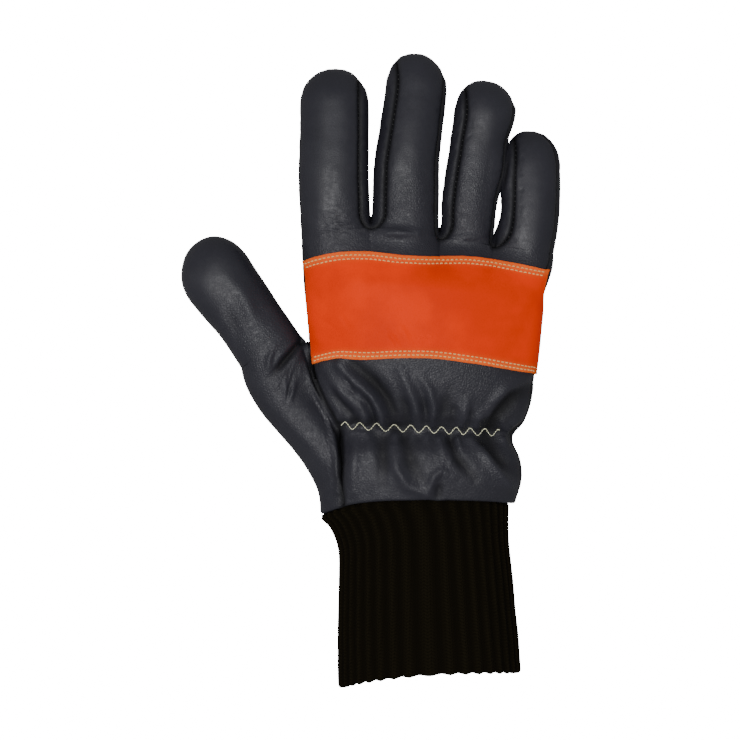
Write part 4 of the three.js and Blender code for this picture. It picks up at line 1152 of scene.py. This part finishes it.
def leather_material(colours):
    """Smooth grey grain leather, with painted shade darkening its creases, seams and fold valleys, a painted
    highlight on the crests of its folds, and lighter patches at random.
    """
    material, tree, shader = new_material("slate_leather")
    place = object_place(tree)
    crease = attribute(tree, "crease")
    raised = attribute(tree, "raised")
    full = attribute(tree, "grained")
    broad = noise_node(tree, place, 38.0, 3.0)
    mottle = noise_node(tree, place, 420.0, 4.0, 0.65)
    rubbed = ranged(tree, broad, 0.42, 0.68, 0.0, 0.45)
    # Painted highlight: the raised mask lightens the colour on the crests of the folds, on top of broad
    # lighter patches at random.
    patches_and_crest_highlight = math_node(tree, "ADD", rubbed, times(tree, raised, 0.5), clamp=True)
    body = mixed(tree, patches_and_crest_highlight, colours.leather, colours.leather_lighter_and_highlight)
    specks = times(tree, full, ranged(tree, mottle, 0.35, 0.75, 0.0, 0.3))
    speckled = mixed(tree, specks, body, colours.leather_lighter_and_highlight)
    # Painted shade: the crease mask darkens the colour to near black in the seams' grooves and the valleys of
    # the folds.
    painted_crease_shade_colour = [channel * 0.16 for channel in colours.leather]
    painted_crease_shaded_colour = mixed(tree, times(tree, crease, 0.9), speckled, painted_crease_shade_colour)
    tree.links.new(painted_crease_shaded_colour, shader.inputs["Base Color"])
    rough = math_node(tree, "ADD", ranged(tree, mottle, 0.3, 0.7, 0.38, 0.5), times(tree, crease, 0.25))
    tree.links.new(rough, shader.inputs["Roughness"])
    shader.inputs["Specular IOR Level"].default_value = 0.31
    grain = grain_height(tree, place, 1.15 * MM)
    bump = node(tree, "ShaderNodeBump", Height=grain, Strength=times(tree, full, 0.4), Distance=0.2 * MM)
    soft = noise_node(tree, place, 170.0, 4.0, 0.6)
    soft_bump = node(
        tree, "ShaderNodeBump", Height=soft, Strength=times(tree, full, 0.22), Distance=0.9 * MM,
        Normal=bump.outputs[0])
    tree.links.new(soft_bump.outputs[0], shader.inputs["Normal"])
    return material


def band_material(colours):
    """Orange leather with a paler raw edge."""
    material, tree, shader = new_material("orange_leather")
    place = object_place(tree)
    raw = attribute(tree, "raw_edge")
    broad = noise_node(tree, place, 45.0, 3.0)
    deeper = [channel * 0.82 for channel in colours.band]
    body = mixed(tree, ranged(tree, broad, 0.35, 0.65, 0.0, 1.0), deeper, colours.band)
    fibres = noise_node(tree, place, 1400.0, 3.0)
    frayed = ranged(tree, fibres, 0.3, 0.6, 0.55, 1.0)
    edge_share = math_node(tree, "MULTIPLY", raw, frayed, clamp=True)
    tree.links.new(mixed(tree, edge_share, body, colours.band_edge), shader.inputs["Base Color"])
    tree.links.new(math_node(tree, "ADD", 0.36, times(tree, raw, 0.35)), shader.inputs["Roughness"])
    shader.inputs["Specular IOR Level"].default_value = 0.02
    grain = grain_height(tree, place, 1.0 * MM)
    bump = node(tree, "ShaderNodeBump", Height=grain, Strength=0.2, Distance=0.12 * MM)
    fray = node(
        tree, "ShaderNodeBump", Height=times(tree, fibres, raw), Strength=0.7, Distance=0.4 * MM,
        Normal=bump.outputs[0])
    tree.links.new(fray.outputs[0], shader.inputs["Normal"])
    return material


def thread_material(name, thread_colour):
    """Twisted sewing thread with a soft shine."""
    material, tree, shader = new_material(name)
    place = object_place(tree)
    fibres = noise_node(tree, place, 5200.0, 2.0)
    darker = [channel * 0.7 for channel in thread_colour]
    twisted = mixed(tree, ranged(tree, fibres, 0.35, 0.65, 0.0, 1.0), darker, thread_colour)
    tree.links.new(twisted, shader.inputs["Base Color"])
    shader.inputs["Roughness"].default_value = 0.55
    shader.inputs["Sheen Weight"].default_value = 0.2
    bump = node(tree, "ShaderNodeBump", Height=fibres, Strength=0.4, Distance=0.1 * MM)
    tree.links.new(bump.outputs[0], shader.inputs["Normal"])
    return material


def knit_material(colours):
    """Black ribbed yarn with rows of V-shaped loops. The map runs in ribs across and rows along."""
    material, tree, shader = new_material("black_knit")
    rows = node(tree, "ShaderNodeUVMap", {"uv_map": "knit"}).outputs[0]
    split = node(tree, "ShaderNodeSeparateXYZ", Vector=rows)
    across = times(tree, split.outputs[0], 2.0)
    lean = math_node(tree, "PINGPONG", across, 0.5)
    leaning = math_node(tree, "ADD", split.outputs[1], times(tree, lean, 1.2))
    loops = math_node(tree, "SINE", times(tree, leaning, 2 * math.pi))
    wales = math_node(tree, "SINE", times(tree, lean, 2 * math.pi))
    place = object_place(tree)
    fuzz = noise_node(tree, place, 2600.0, 4.0)
    height = math_node(tree, "ADD", times(tree, loops, 0.5), times(tree, wales, 0.5))
    fuzzy = math_node(tree, "ADD", height, times(tree, fuzz, 1.1))
    bump = node(tree, "ShaderNodeBump", Height=fuzzy, Strength=0.7, Distance=0.4 * MM)
    tree.links.new(bump.outputs[0], shader.inputs["Normal"])
    # Painted highlight and shade: the yarn is lighter on the raised parts of its loops and ribs, and stays
    # dark in the grooves between the ribs.
    knit_highlight_colour = [channel * 2.0 + 0.0006 for channel in colours.knit]
    groove = attribute(tree, "groove")
    out_of_groove = math_node(tree, "SUBTRACT", 1.0, groove)
    lit = times(tree, ranged(tree, height, -0.6, 0.9, 0.0, 1.0), out_of_groove)
    tree.links.new(mixed(tree, lit, colours.knit, knit_highlight_colour), shader.inputs["Base Color"])
    shader.inputs["Roughness"].default_value = 0.95
    shader.inputs["Specular IOR Level"].default_value = 0.06
    return material


def dressed(thing, material, nodes):
    """Gives a piece its material, and ties it to the frame."""
    thing.data.materials.clear()
    thing.data.materials.append(material)
    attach(thing, "root")
    if nodes:
        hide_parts(*nodes)


def material_once(name, make):
    return bpy.data.materials.get(name) or make()


def slate_leather(context):
    return material_once("slate_leather", lambda: leather_material(context.scene.glove_colours))


def add_leather(context, name, piece):
    """Adds one grey leather piece of the glove, with its material."""
    made = leather_piece(name, piece, context.scene.glove_leather)
    dressed(made, slate_leather(context), [piece])
    return {"FINISHED"}


# Operators

class GLOVE_OT_back_panel(bpy.types.Operator):
    """Build the leather back of the hand and fingers"""
    bl_idname = "glove.back_panel"
    bl_label = "Back Panel"

    def execute(self, context):
        return add_leather(context, "back_leather", "back_panel")


class GLOVE_OT_palm_panel(bpy.types.Operator):
    """Build the leather palm and finger fronts"""
    bl_idname = "glove.palm_panel"
    bl_label = "Palm Panel"

    def execute(self, context):
        return add_leather(context, "palm_leather", "palm_panel")


class GLOVE_OT_thumb(bpy.types.Operator):
    """Build the leather thumb with its heel"""
    bl_idname = "glove.thumb"
    bl_label = "Thumb"

    def execute(self, context):
        return add_leather(context, "thumb_leather", "thumb")


class GLOVE_OT_finger_strips(bpy.types.Operator):
    """Build the three leather strips between the fingers"""
    bl_idname = "glove.finger_strips"
    bl_label = "Finger Strips"

    def execute(self, context):
        for k in range(3):
            add_leather(context, f"leather_{strip_name(k)}", strip_name(k))
        return {"FINISHED"}


def band_rows(edge, i, t):
    """Shares of the hand's length at which one long edge of the band crosses columns of the back."""
    low, high = np.full(np.shape(t), 0.4), np.full(np.shape(t), 1.0)
    for _ in range(24):
        middle = (low + high) / 2
        point = hand_point(middle, "back", i, t)
        above = point[..., 1] > read(BAND_EDGES, edge, point[..., 0])
        low, high = np.where(above, low, middle), np.where(above, middle, high)
    return (low + high) / 2


def band_line(edge, row):
    """Points across the back of the hand, a row's distance from one long edge of the band."""
    t = np.linspace(0, 1, 105, endpoint=False)
    found = [hand_point(band_rows(edge, i, t) + row / HAND_LENGTH, "back", i, t) for i in range(4)]
    return np.concatenate(found)[8:-3]


def band_surface(sizes, leather):
    """The band's own skin: the back's, with softer folds, the band's creases and rough long edges."""
    step = leather.fineness
    skin = Skin()
    tall = (BAND_TO - BAND_FROM) * HAND_LENGTH
    share = stations([0, 5 * MM, tall - 5 * MM, tall], 0.8 * step)[:, None] / tall
    for i in range(4):
        first = read(BAND_LEFT, "inset", share) / STRETCH_WIDTH if i == 0 else 0 * share
        t = mix(first, 1, np.linspace(0, 1, columns_of(STRETCH_WIDTH, step) + 1))
        v = mix(band_rows("low", i, t), band_rows("high", i, t), share)
        skin.grid("band", hand_point(v, "back", i, t))
    skin.weld()
    grid = np.concatenate([grid for _, grid in skin.grids], axis=1)
    skin.from_edge = np.zeros(len(skin.points))
    skin.from_edge[grid] = np.minimum(share, 1 - share) * tall + 0 * grid
    normals = skin.normals(skin.quads())
    height = 0.5 * leather.folds * relief(skin.points, normals, 1.0, 0.0)
    height += sum(stroke_height(skin.points[:, 0], skin.points[:, 1], crease) for crease in BAND_CREASES)
    skin.points = skin.points + normals * height[:, None]
    edge_noise = 0.6 * wander(skin.points, 4.2 * MM, 31.0) + 0.4 * wander(skin.points, 1.5 * MM, 37.0)
    fray = sizes.fray * edge_noise * np.exp(-skin.from_edge / (0.9 * MM))
    skin.points[:, 1] += fray
    return skin


class GLOVE_OT_knuckle_band(bpy.types.Operator):
    """Build the orange leather band across the knuckles"""
    bl_idname = "glove.knuckle_band"
    bl_label = "Knuckle Band"

    def execute(self, context):
        sizes, leather = context.scene.glove_band, context.scene.glove_leather
        skin = band_surface(sizes, leather)
        normals = skin.normals(skin.quads())
        stitched = (sizes.first_row, sizes.second_row)
        rows = sum(np.exp(-((skin.from_edge - row) / (0.55 * MM)) ** 2) for row in stitched)
        puckers = 0.12 * MM * wander(skin.points, 2.1 * MM, 41.0) * np.exp(-skin.from_edge / (4 * MM))
        pressed = 0.22 * MM * rows + puckers
        ends = np.unique(border_edges(skin.quads()))
        away = distances(skin.points, skin.points[ends])
        bevel = roll_depth(away, 0.7 * MM, 0.35 * MM)
        sink = pressed + bevel - sizes.lift - sizes.wall
        raw = np.clip(1.2 - away / (0.8 * MM), 0, 1)
        raw = np.maximum(raw, 0.45 * np.exp(-((skin.from_edge - sizes.first_row) / (2.2 * MM)) ** 2))
        made = sheet_mesh(
            "knuckle_band_leather", skin, "band", normals, sizes.wall, sink, BAND_PULL, [("raw_edge", raw)])
        material = material_once("orange_leather", lambda: band_material(context.scene.glove_colours))
        dressed(made, material, ["knuckle_band"])
        return {"FINISHED"}


class GLOVE_OT_band_stitches(bpy.types.Operator):
    """Sew the two rows of stitches along each long edge of the band"""
    bl_idname = "glove.band_stitches"
    bl_label = "Band Stitches"

    def execute(self, context):
        sizes = context.scene.glove_band
        band = bpy.data.objects.get("knuckle_band_leather")
        if band is None:
            raise RuntimeError("Build the knuckle band before its stitches")
        tree = tree_of(band)
        stitches = []
        rows = [("low", row) for row in (sizes.first_row, sizes.second_row)]
        rows += [("high", -row) for row in (sizes.first_row, sizes.second_row)]
        for edge, row in rows:
            line, outs = [], []
            for place in band_line(edge, row):
                place[2] += sizes.lift + sizes.wall
                hit, normal, _, _ = tree.find_nearest(Vector(place))
                line.append(hit)
                outs.append(normal)
            stitches += laid_stitches(
                line, outs, sizes.stitch_pitch, sizes.stitch_share, abs(row) / sizes.second_row * 0.8 * MM)
        made = stitch_mesh("band_stitches", stitches, sizes.thread)
        material = thread_material("orange_thread", context.scene.glove_colours.band_thread)
        dressed(made, material, [])
        return {"FINISHED"}


def zigzag_wave(x):
    """Height of the zigzag, from -1 to 1, with rounded turns."""
    turns = np.interp(x, ZIGZAG_TURNS, np.arange(len(ZIGZAG_TURNS)))
    turns += min(x - ZIGZAG_TURNS[0], 0) / (6.7 * MM) + max(x - ZIGZAG_TURNS[-1], 0) / (6.3 * MM)
    return math.asin(ZIGZAG_ROUNDNESS * math.cos(2 * math.pi * turns)) / math.asin(ZIGZAG_ROUNDNESS)


class GLOVE_OT_zigzag(bpy.types.Operator):
    """Sew the zigzag over the elastic at the back of the wrist"""
    bl_idname = "glove.zigzag"
    bl_label = "Zigzag Stitches"

    def execute(self, context):
        sizes = context.scene.glove_elastic
        back = bpy.data.objects.get("back_leather")
        if back is None:
            raise RuntimeError("Build the back panel before the zigzag on it")
        tree = tree_of(back)
        line, outs = [], []
        for x in np.linspace(*ZIGZAG_ENDS, ZIGZAG_POINTS):
            hit, normal = dropped(tree, x, elastic_line(x) + zigzag_wave(x) * sizes.height / 2)
            if hit is not None:
                line.append(hit)
                outs.append(normal)
        stitches = laid_stitches(line, outs, sizes.stitch, 0.88)
        made = stitch_mesh("zigzag_stitches", stitches, sizes.thread, 0.35)
        material = thread_material("yellow_thread", context.scene.glove_colours.zigzag_thread)
        dressed(made, material, [])
        return {"FINISHED"}


class GLOVE_OT_cuff(bpy.types.Operator):
    """Knit the ribbed cuff"""
    bl_idname = "glove.cuff"
    bl_label = "Knit Cuff"

    def execute(self, context):
        sizes = context.scene.glove_cuff
        skin = Skin()
        per_rib = 2 * COARSE
        columns = np.arange(RIB_COUNT * per_rib + 1) / per_rib
        degrees = 360 * (1 - columns / RIB_COUNT)
        top = CUFF_RINGS["at"][0]
        down = stations([top * CUFF_LENGTH, CUFF_LENGTH], KNIT_STEP)[::-1, None] / CUFF_LENGTH
        bridge = np.arange(3 * COARSE)[1:, None] / (3 * COARSE)
        low = cuff_point(np.full((1, 1), top), degrees)
        high = tucked_point(np.zeros((1, 1)), degrees)
        tuck = np.arange(0, 3 * COARSE + 1)[:, None] / (3 * COARSE) * CUFF_TUCK
        inward = mix(low, high, (bridge ** 40)[..., None])
        inward[..., 1] = mix(low, high, bridge[..., None])[..., 1]
        rows = np.concatenate([cuff_point(down, degrees), inward, tucked_point(tuck, degrees)])
        skin.grid("cuff", rows)
        skin.weld()
        grid = skin.grids[0][1]
        rib = np.zeros(len(skin.points))
        rib[grid] = columns % 1 + 0 * grid
        normals = skin.normals(skin.quads())
        groove = np.abs(np.cos(math.pi * rib)) ** 1.6
        sway = 0.25 * MM * wander(skin.points, 14 * MM, 51.0)
        from_end = np.full(len(skin.points), 1.0)
        from_end[grid] = np.arange(len(grid))[:, None] * KNIT_STEP + 0 * grid
        bulge = np.exp(-from_end / (2.2 * MM))
        skin.points[:, 1] += sizes.scallop * bulge * (groove - 0.5) * 1.3
        sink = sizes.rib_depth * groove - sway + roll_depth(from_end, 1.8 * MM, 0.9 * MM)
        # The groove mask also goes to the material, where it keeps the painted highlight out of the grooves,
        # leaving painted shade there.
        made = sheet_mesh(
            "knit_cuff_ribbed", skin, "cuff", normals, sizes.wall, sink, 0.0, [("groove", groove)])
        self.map_rows(made, sizes)
        material = material_once("black_knit", lambda: knit_material(context.scene.glove_colours))
        dressed(made, material, ["knit_cuff"])
        return {"FINISHED"}

    @staticmethod
    def map_rows(made, sizes):
        """A map whose unit is one rib across and one row of loops along."""
        mesh = made.data
        co = np.array([v.co for v in mesh.vertices]) - OWN_ZERO
        middle = co[:, [0, 2]].mean(axis=0)
        flattened = (co[:, 0] - middle[0]) * CUFF_THICKNESS / CUFF_WIDTH
        angle = np.degrees(np.arctan2(co[:, 2] - middle[1], flattened))
        across = (1 - (angle % 360) / 360) * RIB_COUNT
        along = co[:, 1] / sizes.row
        corners = np.zeros(len(mesh.loops), np.int32)
        mesh.loops.foreach_get("vertex_index", corners)
        uv = np.stack([across[corners], along[corners]], axis=1).astype(np.float32)
        mesh.uv_layers.new(name="knit").data.foreach_set("uv", uv.ravel())


class GLOVE_OT_seam_stitches(bpy.types.Operator):
    """Sew the grey stitches that show in the seams between the fingers and beside the index finger"""
    bl_idname = "glove.seam_stitches"
    bl_label = "Seam Stitches"

    def execute(self, context):
        leather = context.scene.glove_leather
        skin = sewn_skin(leather.fineness, leather.folds)
        normals = skin.normals(skin.quads())
        stitches = []
        lines = []
        grids = [grid for piece, grid in skin.grids if piece == "back_panel"]
        for finger in grids[1::2]:
            rows = int(finger.shape[0] * SEAM_STITCH_END)
            lines += [finger[2:rows, 0], finger[2:rows, -1]]
        for line in lines:
            places = skin.points[line] - normals[line] * (leather.seam_depth * SEAM_STITCH_DEPTH)
            for start, end, out in laid_stitches(places, normals[line], SEAM_STITCH_PITCH, 0.3):
                along = unit(end - start)
                across = np.cross(along, unit(out)) * SEAM_STITCH_ACROSS
                middle = (start + end) / 2
                slanted = across - along * SEAM_STITCH_ALONG
                stitches.append((middle - slanted, middle + slanted, out))
        made = stitch_mesh("seam_stitches", stitches, SEAM_STITCH_THREAD, 0.3)
        material = thread_material("grey_thread", context.scene.glove_colours.seam_thread)
        dressed(made, material, [])
        return {"FINISHED"}


class GLOVE_OT_stage(bpy.types.Operator):
    """Set the pale floor, the soft lights and the camera straight above"""
    bl_idname = "glove.stage"
    bl_label = "Stage"

    def execute(self, context):
        sizes = context.scene.glove_stage
        scene = context.scene
        self.floor("floor", -0.5 * MM, sizes.floor_glow, {"visible_diffuse": False, "visible_glossy": False})
        self.floor("floor_bounce", -1 * MM, 0.0, {"visible_camera": False})
        world = bpy.data.worlds.new("soft_room")
        world.use_nodes = True
        background = world.node_tree.nodes["Background"]
        background.inputs[0].default_value = (1.0, 1.0, 1.0, 1.0)
        background.inputs[1].default_value = sizes.room_light
        scene.world = world
        self.light("soft_box", SOFT_BOX_PLACE, SOFT_BOX_SIZE, sizes.soft_box)
        self.light("side_strip", SIDE_STRIP_PLACE, SIDE_STRIP_SIZE, sizes.side_strip)

        camera = bpy.data.cameras.new("camera")
        camera.sensor_width = 36
        camera.lens = camera.sensor_width * (sizes.camera_height - sizes.view_level) / sizes.view_width
        eye = bpy.data.objects.new("camera", camera)
        eye.location = (sizes.aim_x, sizes.aim_y, sizes.camera_height)
        scene.collection.objects.link(eye)
        scene.camera = eye
        return {"FINISHED"}

    @staticmethod
    def floor(name, level, glow, unseen):
        bpy.ops.mesh.primitive_plane_add(size=FLOOR_WIDTH, location=(0, 0, level))
        floor = bpy.context.object
        floor.name = name
        for setting, value in unseen.items():
            setattr(floor, setting, value)
        colours = bpy.context.scene.glove_colours
        material, tree, shader = new_material(f"pale_{name}")
        place = object_place(tree)
        speckle = noise_node(tree, place, 30.0, 2.0)
        darker = [channel * 0.99 for channel in colours.floor]
        tree.links.new(mixed(tree, speckle, darker, colours.floor), shader.inputs["Base Color"])
        shader.inputs["Roughness"].default_value = 0.9
        shader.inputs["Specular IOR Level"].default_value = 0.0
        shader.inputs["Emission Color"].default_value = (1.0, 1.0, 1.0, 1.0)
        shader.inputs["Emission Strength"].default_value = glow
        floor.data.materials.append(material)

    @staticmethod
    def light(name, place, size, power):
        lamp = bpy.data.lights.new(name, "AREA")
        lamp.shape = "RECTANGLE"
        lamp.size, lamp.size_y = size
        lamp.energy = power
        thing = bpy.data.objects.new(name, lamp)
        thing.location = place
        thing.rotation_mode = "QUATERNION"
        thing.rotation_quaternion = (-Vector(place)).to_track_quat("-Z", "Y")
        bpy.context.scene.collection.objects.link(thing)


class GLOVE_PT_panel(bpy.types.Panel):
    """Lists what builds the glove"""
    bl_label = "Work Glove"
    bl_idname = "GLOVE_PT_panel"
    bl_space_type = "VIEW_3D"
    bl_region_type = "UI"
    bl_category = "Work Glove"

    def draw(self, context):
        for operator in OPERATORS:
            self.layout.operator(operator.bl_idname)
        for name in GROUPS:
            box = self.layout.box()
            group = getattr(context.scene, name)
            for key in group.__annotations__:
                box.prop(group, key)


OPERATORS = [
    GLOVE_OT_back_panel, GLOVE_OT_palm_panel, GLOVE_OT_thumb, GLOVE_OT_finger_strips, GLOVE_OT_knuckle_band,
    GLOVE_OT_band_stitches, GLOVE_OT_zigzag, GLOVE_OT_seam_stitches, GLOVE_OT_cuff, GLOVE_OT_stage,
]
GROUPS = {
    "glove_leather": GloveLeatherSizes,
    "glove_band": GloveBandSizes,
    "glove_elastic": GloveElasticSizes,
    "glove_cuff": GloveCuffSizes,
    "glove_colours": GloveColours,
    "glove_stage": GloveStageSizes,
}


def register():
    for group in GROUPS.values():
        bpy.utils.register_class(group)
    for name, group in GROUPS.items():
        setattr(bpy.types.Scene, name, bpy.props.PointerProperty(type=group))
    for operator in OPERATORS:
        bpy.utils.register_class(operator)
    bpy.utils.register_class(GLOVE_PT_panel)


def unregister():
    bpy.utils.unregister_class(GLOVE_PT_panel)
    for operator in reversed(OPERATORS):
        bpy.utils.unregister_class(operator)
    for name in GROUPS:
        delattr(bpy.types.Scene, name)
    for group in reversed(GROUPS.values()):
        bpy.utils.unregister_class(group)


def main():
    register()
    bpy.ops.glove.back_panel()
    bpy.ops.glove.palm_panel()
    bpy.ops.glove.thumb()
    bpy.ops.glove.finger_strips()
    bpy.ops.glove.knuckle_band()
    bpy.ops.glove.band_stitches()
    bpy.ops.glove.zigzag()
    bpy.ops.glove.seam_stitches()
    bpy.ops.glove.cuff()
    bpy.ops.glove.stage()
    bpy.context.view_layer.update()


if __name__ == "__main__":
    main()
